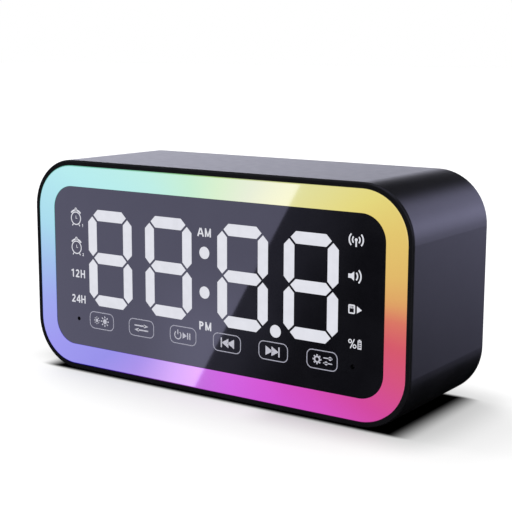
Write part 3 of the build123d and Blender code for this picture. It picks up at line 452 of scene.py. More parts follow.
def cell_wrap():
    """Blue shrink wrap, a little wavy over the can."""
    finish = Finish("blue_shrink_wrap", rgb(30, 82, 172), 0.22, IOR=1.5)
    finish.tones(16, rgb(26, 74, 162), rgb(38, 94, 184))
    finish.gloss(5, 0.16, 0.3)
    finish.relief(finish.noise(2.2, 2, (0.3, 1, 1)), 0.06)
    return finish.material


def ribbon_film():
    """White film with its printed tracks side by side."""
    finish = Finish("ribbon_film", rgb(232, 231, 222), 0.35)
    tracks = finish.waves(1.0, "X")
    finish.feed("Base Color", finish.ramp(tracks, [(0.25, rgb(168, 170, 168)), (0.5, rgb(238, 238, 231))]))
    finish.gloss(3, 0.28, 0.42)
    finish.relief(tracks, 0.03)
    return finish.material


def lead_insulation(name, colour):
    """Soft insulation, a little uneven in tone along the lead."""
    return plain(name, colour, 0.45, IOR=1.45, relief=(0.5, 3, 0.006),
                 tones=(2, colour, shade(colour, 1.2)), gloss=(1.5, 0.38, 0.52))


def panel_print(name, colour):
    """Silver-grey ink of the keys."""
    return plain(name, colour, 0.5,
                 tones=(1.2, shade(colour, 0.94), shade(colour, 1.06)), gloss=(1, 0.4, 0.6))


def cover_print():
    return plain("pale_ink", rgb(176, 176, 180), 0.6,
                 tones=(1.2, rgb(166, 166, 170), rgb(186, 186, 190)), gloss=(1, 0.5, 0.7))


# One finish for each material slot, made by the function that has the slot's name
finishes = {
    make.__name__: make()
    for make in (body_plastic, ring_opal, panel_gloss, segment_white, light_pipe, carrier_white, mask_film,
                 circuit_board, led_package, dark_foam, soft_rubber, screw_steel, bare_steel, copper_winding,
                 basket_steel, ferrite, cone_plastic, spider_cloth, grille_cloth, chip_black,
                 connector_ivory, cell_wrap, ribbon_film)
}
finishes["lead_insulation"] = lead_insulation("red_insulation", rgb(178, 24, 22))
black_insulation = lead_insulation("black_insulation", rgb(22, 22, 23))


def paint_cad_nodes():
    for part in frame["record"]["subparts"]:
        node = frame["nodes"][part["node"]]
        for material_slot in node.material_slots:
            material_slot.material = finishes[part["material_slot"]]


def deselect():
    bpy.ops.object.select_all(action="DESELECT")


def select_where(shape, kind, test):
    """Selects the vertices or the faces that pass the test, and nothing else."""
    bpy.context.tool_settings.mesh_select_mode = (kind == "VERT", False, kind == "FACE")
    mesh = shape.data
    for elements in (mesh.vertices, mesh.edges, mesh.polygons):
        elements.foreach_set("select", [False] * len(elements))
    for element in mesh.vertices if kind == "VERT" else mesh.polygons:
        element.select = test(element)


def bar(x, y, width, height, turn=0, corner=0, segments=5):
    """Flat rectangle, its corners rounded if asked."""
    deselect()
    bpy.ops.mesh.primitive_plane_add(size=MM, location=(x * MM, y * MM, 0))
    made = bpy.context.object
    bpy.context.tool_settings.mesh_select_mode = (True, False, False)
    bpy.ops.object.mode_set(mode="EDIT")
    bpy.ops.transform.resize(value=(width, height, 1))
    if corner:
        bpy.ops.mesh.bevel(affect="VERTICES", offset=corner * MM, segments=segments)
    bpy.ops.object.mode_set(mode="OBJECT")
    made.rotation_euler.z = math.radians(turn)
    bpy.ops.object.transform_apply(location=True, rotation=True, scale=True)
    return made


def disc(x, y, radius, sides=32):
    deselect()
    bpy.ops.mesh.primitive_circle_add(
        vertices=sides, radius=radius * MM, fill_type="NGON", location=(x * MM, y * MM, 0))
    bpy.ops.object.transform_apply(location=True, rotation=True, scale=True)
    return bpy.context.object


def hollow(shape, line):
    """Leaves only a line that wide along the outline of a flat shape."""
    deselect()
    shape.select_set(True)
    bpy.context.view_layer.objects.active = shape
    bpy.context.tool_settings.mesh_select_mode = (False, False, True)
    bpy.ops.object.mode_set(mode="EDIT")
    bpy.ops.mesh.select_all(action="SELECT")
    bpy.ops.mesh.inset(thickness=line * MM, use_even_offset=True)
    bpy.ops.mesh.delete(type="FACE")
    bpy.ops.object.mode_set(mode="OBJECT")
    return shape


def ring(x, y, radius, line, sides=32):
    return hollow(disc(x, y, radius, sides), line)


def arc(x, y, radius, line, start, end, sides=48):
    """Part of a ring from one angle to another, in degrees, anticlockwise."""
    made = ring(x, y, radius, line, sides)

    def outside(face):
        angle = math.degrees(math.atan2(face.center.y - y * MM, face.center.x - x * MM))
        return (angle - start) % 360 > end - start

    select_where(made, "FACE", outside)
    bpy.ops.object.mode_set(mode="EDIT")
    bpy.ops.mesh.delete(type="FACE")
    bpy.ops.object.mode_set(mode="OBJECT")
    return made


def wedge(x, y, width, height, toward=1):
    """Triangle that points to the right, or to the left where toward is -1."""
    made = bar(x, y, width, height)
    select_where(made, "VERT", lambda vertex: (vertex.co.x - x * MM) * toward > 0)
    bpy.ops.object.mode_set(mode="EDIT")
    bpy.ops.mesh.merge(type="CENTER")
    bpy.ops.object.mode_set(mode="OBJECT")
    return made


def stroke(start, end, line):
    """Straight stroke from one point to another."""
    across, up = end[0] - start[0], end[1] - start[1]
    turn = math.degrees(math.atan2(up, across))
    return bar((start[0] + end[0]) / 2, (start[1] + end[1]) / 2, math.hypot(across, up), line, turn)


# Bold figures and letters, round their own middle, with their height and line in millimetres
def figure_1(height, line):
    stem = 0.08 * height
    return [bar(stem, 0, line, height), stroke((-0.2 * height, 0.27 * height), (stem, 0.42 * height), line)]


def figure_2(height, line):
    half = height / 2
    low = -half + line / 2
    radius = 0.3 * height
    rise = half - radius
    return [
        arc(0, rise, radius, line, -35, 165, 36),
        stroke((-radius + line * 0.4, low), (radius - line * 0.75, rise - radius * 0.42), line),
        bar(0, low, radius * 2, line),
    ]


def figure_4(height, line):
    half = height / 2
    rise = -half + height * 0.27
    return [
        bar(0.14 * height, 0, line, height),
        bar(0, rise, 0.66 * height, line * 0.92),
        stroke((-0.3 * height, rise + line * 0.2), (0.12 * height, half - line * 0.3), line * 0.85),
    ]


def letter_h(height, line):
    side = 0.36 * height - line / 2
    return [bar(-side, 0, line, height), bar(side, 0, line, height), bar(0, 0, side * 2, line * 0.92)]


def letter_a(height, line):
    half = height / 2
    foot, tip, top = 0.39 * height, 0.05 * height, half - line * 0.15
    sides = [stroke((end * foot, -half), (end * tip, top), line) for end in (-1, 1)]
    return sides + [bar(0, -height * 0.18, 0.46 * height, line * 0.8)]


def letter_m(height, line):
    half = height / 2
    side = 0.43 * height - line / 2
    shapes = [bar(end * side, 0, line, height) for end in (-1, 1)]
    top, point = half - line * 0.3, (0, -half + line * 0.35)
    return shapes + [stroke((end * side, top), point, line * 0.8) for end in (-1, 1)]


def letter_p(height, line):
    half = height / 2
    side = -0.3 * height
    radius = 0.29 * height
    level = half - radius - 0.02 * height
    shapes = [bar(side + line / 2, 0, line, height), arc(0.02 * height, level, radius, line, -90, 90, 36)]
    inner, outer = side + line / 2, 0.05 * height
    for end in (-1, 1):
        shapes.append(bar((inner + outer) / 2, level + end * (radius - line / 2), outer - inner, line))
    return shapes


def row(makers, places, height, line):
    """Figures and letters side by side."""
    shapes = []
    for maker, x in zip(makers, places):
        for shape in maker(height, line):
            shape.location.x += x * MM
            shapes.append(shape)
    return shapes


def printed(name, shapes, x, z, y, finish, facing_rear=False):
    """Joins flat shapes into one print, gives it its thickness and sets it upright on the clock."""
    deselect()
    for shape in shapes:
        shape.select_set(True)
    bpy.context.view_layer.objects.active = shapes[0]
    bpy.ops.object.transform_apply(location=True, rotation=True, scale=True)
    if len(shapes) > 1:
        bpy.ops.object.join()
    made = bpy.context.object
    bpy.ops.object.mode_set(mode="EDIT")
    bpy.ops.mesh.select_all(action="SELECT")
    bpy.ops.mesh.remove_doubles(threshold=PRINT_MERGE * MM)
    bpy.ops.mesh.normals_make_consistent(inside=False)
    bpy.ops.object.mode_set(mode="OBJECT")
    if made.data.polygons[0].normal.z < 0:
        made.data.flip_normals()
    thick = made.modifiers.new("thickness", "SOLIDIFY")
    thick.thickness = PRINT_THICKNESS * MM
    thick.offset = 0
    bpy.ops.object.modifier_apply(modifier=thick.name)
    made.rotation_euler = (UPRIGHT, 0, HALF_TURN if facing_rear else 0)
    made.location = (x, y, z)
    bpy.ops.object.transform_apply(location=True, rotation=True, scale=True)
    made.name = name
    made.data.name = name
    made.data.materials.clear()
    made.data.materials.append(finish)
    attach(made, "clock_body")
    return made


legend_finish = lit_white("lit_legends", rgb(230, 231, 238), 0.8)
symbol_finish = panel_print("bright_silver_ink", rgb(181, 181, 191))
outline_finish = panel_print("silver_ink", rgb(155, 155, 168))
cover_print_finish = cover_print()
print_y = panel_face_y + (PRINT_THICKNESS / 2 - PRINT_PROUD) * MM
cover_print_y = cover_face_y - (PRINT_THICKNESS / 2 - PRINT_PROUD) * MM


def legend(name, shapes, x, rise):
    """A lit sign on the panel, placed from the middle of the face."""
    place = face_middle + Vector((x, 0, rise)) * MM
    return printed(name, shapes, place.x, place.z, print_y, legend_finish)


def key_print(name, shapes, key, finish):
    """A silver print over one of the touch pads."""
    place = middle(f"touch_pad_{key}")
    return printed(name, shapes, place.x, place.z, print_y, finish)


# Signs and symbols, drawn in millimetres round their own middle
def alarm_clock(number):
    """Twin-bell alarm clock with its number beside its foot."""
    shapes = [ring(0, -0.1, 2.35, 0.36), bar(0, 0.35, 0.2, 1.0), bar(0.3, -0.13, 0.6, 0.2)]
    shapes += [arc(0, -0.1, 3.1, 0.56, side - 19, side + 19, 72) for side in (60, 120)]
    shapes += [stroke((side * 1.3, -2.1), (side * 1.75, -2.75), 0.36) for side in (-1, 1)]
    shapes += [ring(0, 3.1, 0.5, 0.25, 20)]
    small = row([figure_1 if number == 1 else figure_2], [3.0], 1.0, 0.22)
    for shape in small:
        shape.location.y = -2.4 * MM
    return shapes + small


def radio_mast():
    """Mast with waves on both sides."""
    shapes = [bar(0, -0.5, 0.5, 2.0), disc(0, 0.6, 0.48, 20)]
    for side in (0, 180):
        shapes += [arc(0, 0.6, radius, 0.46, side - 42, side + 42, 40) for radius in (1.5, 2.6)]
    return shapes


def sound_waves():
    """Small loudspeaker with two waves."""
    cone = [bar(-1.95, 0, 1.1, 1.3), wedge(-1.45, 0, 1.9, 2.8, -1)]
    return cone + [arc(-0.9, 0, radius, 0.46, -44, 44, 40) for radius in (1.8, 2.95)]


def memory_card():
    """Card with its contacts, and a play sign."""
    card = hollow(bar(-1.15, 0, 2.3, LEGEND_HEIGHT, corner=0.35, segments=2), 0.4)
    contacts = [bar(-1.15 + step * 0.5, 0.55, 0.26, 0.7) for step in (-1, 0, 1)]
    return [card] + contacts + [wedge(1.5, 0, 1.7, 2.2)]


def charge_percent():
    """Percent sign beside a small battery with four bars."""
    shapes = [ring(-1.5, 0.72, 0.66, 0.3, 20), ring(0.05, -0.72, 0.66, 0.3, 20)]
    shapes += [stroke((-1.4, -1.45), (-0.05, 1.45), 0.32)]
    shapes += [hollow(bar(1.75, -0.1, 1.3, 2.7), 0.22), bar(1.75, 1.42, 0.6, 0.24)]
    shapes += [bar(1.75, -0.1 + step * 0.6, 0.86, 0.22) for step in (-1.5, -0.5, 0.5, 1.5)]
    return shapes


def sun_rays(x, core, inner, outer, line):
    """Disc with rays round it, from the inner radius to the outer one."""
    shapes = [disc(x, 0, core, 24)]
    for step in range(SUN_RAYS):
        angle = math.radians(step * 360 / SUN_RAYS)
        across, up = math.cos(angle), math.sin(angle)
        shapes.append(stroke((x + inner * across, inner * up), (x + outer * across, outer * up), line))
    return shapes


def lamp_levels():
    """A dim sun and a bright one."""
    return sun_rays(-2.25, 0.6, 0.9, 1.3, 0.36) + sun_rays(1.45, 0.85, 1.2, 1.85, 0.44)


def mode_exchange():
    """Two arrows that point opposite ways."""
    shapes = []
    for toward in (-1, 1):
        rise = toward * 0.75
        shapes += [bar(toward * -0.7, rise, 4.6, 0.46), wedge(toward * 2.1, rise, 1.9, 1.35, toward)]
    return shapes


def power_and_play():
    """Power sign, play and pause."""
    shapes = [arc(-2.15, -0.1, 1.5, 0.36, 125, 415, 48), bar(-2.15, 0.95, 0.36, 1.6)]
    return shapes + [wedge(0.7, 0, 1.7, 2.2), bar(1.95, 0, 0.45, 2.2), bar(2.85, 0, 0.45, 2.2)]


def skip_track(toward):
    """Two triangles and a bar."""
    shapes = [wedge(toward * place, 0, 2.7, 3.1, toward) for place in (-1.5, 0.75)]
    return shapes + [bar(toward * 2.2, 0, 0.5, 3.2)]


def settings_gear():
    """Gear wheel beside two sliders."""
    shapes = [ring(-1.75, 0, 1.15, 0.5, 32)]
    for step in range(8):
        angle = math.radians(step * 45)
        shapes.append(bar(-1.75 + 1.3 * math.cos(angle), 1.3 * math.sin(angle), 0.5, 0.5, step * 45))
    for level, knob in ((0.8, 2.9), (-0.8, 1.5)):
        shapes += [bar(2.1, level, 3.2, 0.34), disc(knob, level, 0.6, 20)]
    return shapes


def print_panel():
    """Lit signs beside the digits, then the symbol and the outline of each key."""
    signs = {
        "alarm_1": alarm_clock(1),
        "alarm_2": alarm_clock(2),
        "12_hours": row([figure_1, figure_2, letter_h], [-2.55, -0.35, 2.15], LEGEND_HEIGHT, HOURS_LINE),
        "24_hours": row([figure_2, figure_4, letter_h], [-2.4, -0.1, 2.15], LEGEND_HEIGHT, HOURS_LINE),
        "am": row([letter_a, letter_m], [-1.45, 1.5], LEGEND_HEIGHT, HALF_DAY_LINE),
        "pm": row([letter_p, letter_m], [-1.3, 1.5], LEGEND_HEIGHT, HALF_DAY_LINE),
        "radio": radio_mast(),
        "sound": sound_waves(),
        "card": memory_card(),
        "charge": charge_percent(),
    }
    for name, shapes in signs.items():
        legend(f"sign_{name}", shapes, *SIGN_PLACES[name])
    symbols = {
        "light": lamp_levels(),
        "mode": mode_exchange(),
        "power": power_and_play(),
        "previous": skip_track(-1),
        "next": skip_track(1),
        "set": settings_gear(),
    }
    for key, shapes in symbols.items():
        key_print(f"key_symbol_{key}", shapes, key, symbol_finish)
        outline = hollow(bar(0, 0, KEY_WIDTH, KEY_HEIGHT, corner=KEY_CORNER, segments=8), KEY_LINE)
        key_print(f"key_outline_{key}", [outline], key, outline_finish)


# Soft pieces: a section's points are (radius, place along Y), a pad's are shares of its width and depth
MESH_MERGE = 0.001
SMOOTH_BELOW = math.radians(35)
EDGE_ABOVE = math.radians(60)
TOUCH_PADS = ["light", "mode", "power", "previous", "next", "set"]
PAD_CORNER = 1.0
PAD_SHARES = [(0.88, 0.0), (0.93, 0.03), (0.955, 0.09), (0.98, 0.25), (1.0, 0.5),
              (0.98, 0.75), (0.955, 0.91), (0.93, 0.97), (0.88, 1.0)]
GASKET_SECTION = [(20.15, 20.75), (21.45, 20.75), (21.56, 20.8), (21.6, 20.95), (21.6, 21.35), (21.56, 21.5),
                  (21.45, 21.55), (20.15, 21.55), (20.04, 21.5), (20.0, 21.35), (20.0, 20.95), (20.04, 20.8)]
BOOT_SECTION = [(0.85, -23.25), (2.7, -23.25), (2.85, -23.19), (2.9, -23.05), (2.9, -21.9), (2.78, -21.75),
                (2.78, -21.35), (2.9, -21.2), (2.9, -17.15), (2.84, -17.01), (2.7, -16.95), (2.3, -16.95),
                (2.15, -17.01), (2.1, -17.15), (2.1, -18.55), (0.7, -18.55), (0.7, -23.1)]
SURROUND_THICKNESS = 0.4
ROLL_RADIUS = 1.4
ROLL_HEIGHT = 1.1
ROLL_MIDDLE = 17.35
ROLL_LEVEL = 19.08
LIP_LEVEL = 19.28
OUTER_LIP = (19.45, 19.02)
INNER_LIP = (15.68, 15.25)
ROLL_ANGLES = [14, 27, 40, 53, 66, 78, 90]
SPIDER_THICKNESS = 0.4
SPIDER_SEAT = [(13.45, 10.45), (12.65, 10.45), (11.85, 10.47), (11.55, 10.63), (11.2, 10.95), (10.85, 11.4)]
SPIDER_START = 10.5
SPIDER_END = 5.37
SPIDER_LEVEL = 11.75
SPIDER_WAVES = 3
SPIDER_WAVE_STEPS = 8
SPIDER_SWING = 0.35
MESH_RADIUS = 19.6
MESH_THICKNESS = 0.3
MESH_RINGS = [MESH_RADIUS, 19.4, 18.0, 15.0, 12.0, 9.0, 6.0, 3.0, 1.0]
RIBBON_BEND = 2.4
RIBBON_TURNS = range(0, 91, 15)
RIBBON_THICKNESS = 0.3
RIBBON_EDGE = 0.06
LEAD_RADIUS = 0.55
LEAD_SPACING = 1.6
LEAD_STEPS = 16
LEAD_ROUNDING = 4
SPEAKER_LEAD = [(14.3, 15.75, 40.1), (14.3, 9.25, 40.1), (3.5, 9.25, 40.1), (3.5, 16.45, 40.1),
                (-6.2, 16.45, 40.1)]
BATTERY_LEAD = [(9.8, -0.55, 16.35), (16.3, -0.55, 16.35), (16.3, -0.55, 40.1), (-6.2, -0.55, 40.1)]


def chosen(made):
    """Makes the piece the only selected one and the active one."""
    deselect()
    made.select_set(True)
    bpy.context.view_layer.objects.active = made
    return made


def dressed(made, name, slot, nodes, body=None, finish=None):
    """Names a finished piece, smooths it, gives it its finish and lets it stand for its CAD nodes."""
    chosen(made)
    bpy.ops.object.shade_smooth_by_angle(angle=SMOOTH_BELOW)
    bpy.ops.object.transform_apply(location=True, rotation=True, scale=True)
    made.name = name
    made.data.name = name
    made.data.materials.clear()
    made.data.materials.append(finish or finishes[slot])
    if body:
        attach(made, body)
    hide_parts(*nodes)
    return made


def mended(made):
    """Merges doubles and turns every face outwards."""
    chosen(made)
    bpy.ops.object.mode_set(mode="EDIT")
    bpy.ops.mesh.select_all(action="SELECT")
    bpy.ops.mesh.remove_doubles(threshold=MESH_MERGE * MM)
    bpy.ops.mesh.normals_make_consistent(inside=False)
    bpy.ops.object.mode_set(mode="OBJECT")
    return made


def thickened(made, thickness):
    """Gives a sheet its thickness, half on each side."""
    mended(made)
    wall = made.modifiers.new("wall", "SOLIDIFY")
    wall.thickness = thickness * MM
    wall.offset = 0
    wall.use_even_offset = True
    bpy.ops.object.modifier_apply(modifier=wall.name)
    return made


def turned(section, x, z, sides=96, closed=False, to_centre=False):
    """Draws a ring from point to point of a section of (radius, place along Y), round an axis along Y."""
    deselect()
    radius, y = section[0]
    bpy.ops.mesh.primitive_circle_add(
        vertices=sides, radius=radius * MM, location=(x, y * MM, z), rotation=(UPRIGHT, 0, 0))
    made = bpy.context.object
    bpy.context.tool_settings.mesh_select_mode = (False, True, False)
    bpy.ops.object.mode_set(mode="EDIT")
    bpy.ops.mesh.select_all(action="SELECT")
    for next_radius, next_y in section[1:] + section[:1] * closed:
        bpy.ops.mesh.extrude_edges_move(TRANSFORM_OT_translate={"value": (0, (next_y - y) * MM, 0)})
        share = next_radius / radius
        bpy.ops.transform.resize(value=(share, 1, share), center_override=(x, next_y * MM, z))
        radius, y = next_radius, next_y
    if to_centre:
        bpy.ops.mesh.merge(type="CENTER")
    bpy.ops.object.mode_set(mode="OBJECT")
    return mended(made)


def foam_pads():
    """One crowned foam block, copied behind each key: flat at both ends, fuller between them."""
    low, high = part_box("touch_pad_light")
    place, size = (low + high) / 2, high - low
    made = bar(0, 0, size.x / MM, size.z / MM, corner=PAD_CORNER, segments=4)
    made.rotation_euler.x = UPRIGHT
    made.location = (place.x, low.y, place.z)
    bpy.ops.object.transform_apply(location=True, rotation=True, scale=True)
    bpy.context.tool_settings.mesh_select_mode = (False, False, True)
    bpy.ops.object.mode_set(mode="EDIT")
    bpy.ops.mesh.select_all(action="SELECT")
    share, along = PAD_SHARES[0]
    bpy.ops.transform.resize(value=(share, 1, share), center_override=(place.x, low.y, place.z))
    for next_share, next_along in PAD_SHARES[1:]:
        bpy.ops.mesh.extrude_region_move(
            TRANSFORM_OT_translate={"value": (0, (next_along - along) * size.y, 0)})
        step = next_share / share
        centre = (place.x, low.y + next_along * size.y, place.z)
        bpy.ops.transform.resize(value=(step, 1, step), center_override=centre)
        share, along = next_share, next_along
    bpy.ops.object.mode_set(mode="OBJECT")
    first = mended(made)
    for key in TOUCH_PADS:
        chosen(first)
        bpy.ops.object.duplicate(linked=False)
        pad = bpy.context.object
        pad.location.x = middle(f"touch_pad_{key}").x - place.x
        dressed(pad, f"foam_pad_{key}", "dark_foam", [f"touch_pad_{key}"], "clock_body")
    bpy.data.objects.remove(first, do_unlink=True)


def foam_gasket():
    place = middle("speaker_gasket")
    made = turned(GASKET_SECTION, place.x, place.z, closed=True)
    dressed(made, "foam_gasket", "dark_foam", ["speaker_gasket"], "clock_body")


def rubber_boot():
    """Rubber tube from the left pinhole to the microphone, with a groove round its front end."""
    place = middle("microphone")
    made = turned(BOOT_SECTION, place.x, place.z, sides=48, closed=True)
    dressed(made, "rubber_boot", "soft_rubber", ["microphone_boot"], "clock_body")


def rubber_surround():
    """Half-roll edge in two rings that meet on its crown."""
    place = middle("speaker_surround")
    roll = []
    for angle in ROLL_ANGLES:
        across, up = math.cos(math.radians(angle)), math.sin(math.radians(angle))
        roll.append((ROLL_RADIUS * across, ROLL_LEVEL + ROLL_HEIGHT * up))
    outer = [(radius, LIP_LEVEL) for radius in OUTER_LIP]
    outer += [(ROLL_MIDDLE + across, y) for across, y in roll]
    inner = [(ROLL_MIDDLE - across, y) for across, y in reversed(roll)]
    inner += [(radius, LIP_LEVEL) for radius in INNER_LIP]
    half = SURROUND_THICKNESS / 2
    foot, crown = LIP_LEVEL + half, ROLL_LEVEL + ROLL_HEIGHT + half
    still, beyond = (Vector((place.x, level * MM, place.z)) for level in (foot, 2 * crown - foot))
    outer_ring = thickened(turned(outer, place.x, place.z), SURROUND_THICKNESS)
    dressed(outer_ring, "surround_outer_ring", "soft_rubber", ["speaker_surround"])
    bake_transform(outer_ring)
    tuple(still)
    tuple(beyond)
    inner_ring = thickened(turned(inner, place.x, place.z), SURROUND_THICKNESS)
    dressed(inner_ring, "surround_inner_ring", "soft_rubber", ["speaker_surround"])
    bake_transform(inner_ring)
    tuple(beyond)
    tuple(still)


def cloth_spider():
    """Corrugated cloth disc: its seat, then its waves running in towards the coil."""
    place = middle("speaker_spider")
    steps = SPIDER_WAVES * SPIDER_WAVE_STEPS
    section = list(SPIDER_SEAT)
    for step in range(steps + 1):
        share = step / steps
        radius = SPIDER_START + (SPIDER_END - SPIDER_START) * share
        swing = 1 - math.cos(share * SPIDER_WAVES * 2 * math.pi)
        section.append((radius, SPIDER_LEVEL + SPIDER_SWING * swing))
    made = thickened(turned(section, place.x, place.z), SPIDER_THICKNESS)
    dressed(made, "cloth_spider", "spider_cloth", ["speaker_spider"])
    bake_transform(made)


def stretched_mesh():
    """Black cloth glued inside the cover, seen through the holes of the grille."""
    place = middle("grille_mesh")
    section = [(radius, place.y / MM) for radius in MESH_RINGS]
    made = thickened(turned(section, place.x, place.z, to_centre=True), MESH_THICKNESS)
    dressed(made, "stretched_mesh", "grille_cloth", ["grille_mesh"], "clock_body")


def flat_ribbon():
    """Flat cable from the front board back, down and back again to the main board, in two round bends."""
    low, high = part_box("ribbon_cable")
    half = RIBBON_THICKNESS / 2 * MM
    bend = RIBBON_BEND * MM
    top, bottom, drop = high.z - half, low.z + half, (low.y + high.y) / 2
    turns = [math.radians(turn) for turn in RIBBON_TURNS]
    route = [(low.y, top)]
    route += [(drop - bend + bend * math.sin(turn), top - bend + bend * math.cos(turn)) for turn in turns]
    route += [(drop + bend - bend * math.cos(turn), bottom + bend - bend * math.sin(turn)) for turn in turns]
    route += [(high.y, bottom)]
    deselect()
    (start_y, start_z), (next_y, _) = route[:2]
    bpy.ops.mesh.primitive_plane_add(size=1, location=((low.x + high.x) / 2, (start_y + next_y) / 2, start_z))
    made = bpy.context.object
    made.scale = (high.x - low.x, next_y - start_y, 1)
    bpy.ops.object.transform_apply(location=True, rotation=True, scale=True)
    select_where(made, "VERT", lambda vertex: vertex.co.y > (start_y + next_y) / 2)
    bpy.ops.object.mode_set(mode="EDIT")
    for (y, z), (to_y, to_z) in zip(route[1:], route[2:]):
        bpy.ops.mesh.extrude_edges_move(TRANSFORM_OT_translate={"value": (0, to_y - y, to_z - z)})
    bpy.ops.object.mode_set(mode="OBJECT")
    thickened(made, RIBBON_THICKNESS)
    edges = made.modifiers.new("edges", "BEVEL")
    edges.width = RIBBON_EDGE * MM
    edges.segments = 2
    edges.limit_method = "ANGLE"
    edges.angle_limit = EDGE_ABOVE
    bpy.ops.object.modifier_apply(modifier=edges.name)
    dressed(made, "flat_ribbon", "ribbon_film", ["ribbon_cable"], "clock_body")


def soft_lead(name, points, shift, node, finish):
    """One insulated lead along a smooth line that its points draw."""
    curve = bpy.data.curves.new(name, "CURVE")
    curve.dimensions = "3D"
    line = curve.splines.new("NURBS")
    line.points.add(len(points) - 1)
    for point, place in zip(line.points, points):
        point.co = (*((Vector(place) + shift) * MM), 1)
    line.order_u = 3
    line.use_endpoint_u = True
    line.resolution_u = LEAD_STEPS
    curve.bevel_depth = LEAD_RADIUS * MM
    curve.bevel_resolution = LEAD_ROUNDING
    curve.use_fill_caps = True
    made = bpy.data.objects.new(name, curve)
    bpy.context.scene.collection.objects.link(made)
    chosen(made)
    bpy.ops.object.convert(target="MESH")
    dressed(mended(bpy.context.object), name, "lead_insulation", [node], "clock_body", finish)


def soft_leads():
    """A red and a black lead to the speaker, one above the other, and to the battery, side by side."""
    half = LEAD_SPACING / 2
    soft_lead("speaker_lead_red", SPEAKER_LEAD, Vector((0, 0, half)), "speaker_leads", None)
    soft_lead("speaker_lead_black", SPEAKER_LEAD, Vector((0, 0, -half)), "speaker_leads", black_insulation)
    soft_lead("battery_lead_red", BATTERY_LEAD, Vector((0, half, 0)), "battery_leads", None)
    soft_lead("battery_lead_black", BATTERY_LEAD, Vector((0, -half, 0)), "battery_leads", black_insulation)


def charge_bolt():
    """Bolt for the charging socket, in three strokes."""
    corners = [(0.45, 1.5), (-0.55, 0.05), (0.55, -0.05), (-0.45, -1.5)]
    return [stroke(start, end, 0.42) for start, end in zip(corners, corners[1:])]


def print_cover():
    """Small signs over the sockets and beside the switch, read from behind."""
    signs = {
        "charging": charge_bolt(),
        "card_slot": [hollow(bar(0, 0, 1.9, 2.5, corner=0.3, segments=2), 0.3), bar(0, 0.65, 1.0, 0.4)],
        "switch_on": [bar(0, 0, 0.4, 2.0)],
        "switch_off": [ring(0, 0, 1.0, 0.36, 28)],
    }
    for name, shapes in signs.items():
        node, across, rise = COVER_SIGN_PLACES[name]
        place = middle(node) + Vector((across, 0, rise)) * MM
        printed(f"sign_{name}", shapes, place.x, place.z, cover_print_y, cover_print_finish, facing_rear=True)


# Floor: its size in metres, and its painted contact shadow, wider soft painted shadow and faint painted shade
# in millimetres from the middle, each from its start to its end
FLOOR_SIZE = 12.0
FLOOR_PALE = rgb(244, 244, 244)
FLOOR_GLOW = 0.5
SIDE_CONTACT_SHADOW = (66.8, 76.5)
FRONT_CONTACT_SHADOW = (23.25, 26.2)
SIDE_SHADOW_HALO = (72.0, 92.0)
FRONT_SHADOW_HALO = (23.0, 43.0)
SHADOW_HALO_DEPTH = 0.24
SHADOW_HALO_START_X = (18.0, 32.0)
SHADOW_HALO_START_Y = (-23.0, -8.0)
SIDE_SHADE = (68.0, 145.0)
FRONT_SHADE = (18.0, 85.0)
SHADE_DEPTH = 0.08

# Black card under the clock, painted shade that the gloss mirrors as the contact shadow, in millimetres
CONTACT_SHADOW_CARD = (166, 92)
CONTACT_SHADOW_CARD_MIDDLE = (0, 15, 0.02)

# Bright card that the panel mirrors: its sides, slanted edge and tail in metres, and its brighter corner
CARD_Y = -0.9
CARD_TOP = -0.004
CARD_BOTTOM = -0.48
CARD_FAR_SIDE = -1.35
CARD_NEAR_SIDE = -0.2
CARD_EDGE_TOP = Vector((-524.5, -43.9)) * MM
CARD_EDGE_LOW = Vector((-684.7, -319.4)) * MM
CARD_LIGHT = 1.95
CARD_COLOUR = (0.886, 0.869, 1.3, 1)
CARD_TAIL = 0.135
CARD_TAIL_SHARE = 0.135
CARD_LIFT = 0.35
CARD_LIFT_X = (-0.79, -0.67)
CARD_LIFT_Z = (-0.13, -0.26)

# Light from all round: how bright each source is, and the tints that the gloss mirrors
SKY_LIGHT = 1.25
LEFT_HORIZON_LIGHT = 2.13
RIGHT_HORIZON_LIGHT = 0.64
SOFTBOX_LIGHT = 1.22
FRONT_HORIZON_LIGHT = 0.8
LOW_LEFT_LIGHT = 0.5
OVERHEAD_LIGHT = 0.7
ROOM_LIGHT = 0.02
LEFT_TINT = (0.9, 0.9, 1.07, 1)
RIGHT_TINT = (0.8, 0.79, 1.2, 1)

# Where each source fades, by the ray's direction: feet and tops upwards, spans rightwards, bands rearwards
SKY_FOOT = (-0.02, 0.02)
HORIZON_FOOT = (-0.38, -0.08)
HORIZON_TOP = (0.14, 0.28)
HORIZON_SPAN = (-0.85, 0.1)
SOFTBOX_FOOT = (-0.2, 0.15)
SOFTBOX_TOP = (0.4, 0.58)
SOFTBOX_SPAN = (-0.05, 0.2)
REAR_BAND = (0.1, 0.45)
FRONT_FOOT = (0.03, 0.12)
FRONT_TOP = (0.3, 0.6)
FRONT_BAND = (-0.45, -0.1)
FRONT_SPAN = (-0.5, 0.1)
FRONT_LEFT_SHARE = 0.55
LOW_LEFT_TOP = (-0.3, -0.05)
LOW_LEFT_SPAN = (-0.25, 0.15)
LOW_LEFT_BAND = (0.05, 0.3)
OVERHEAD_FOOT = (0.8, 0.97)
ROOM_FOOT = (-0.02, 0.05)
TINT_SPAN = (-0.4, 0.2)

# Key light: its strength, and its spread and its leans back and to the right in degrees
SUN_LIGHT = 1.5
SUN_SPREAD = 44
SUN_LEAN = (12, -40)


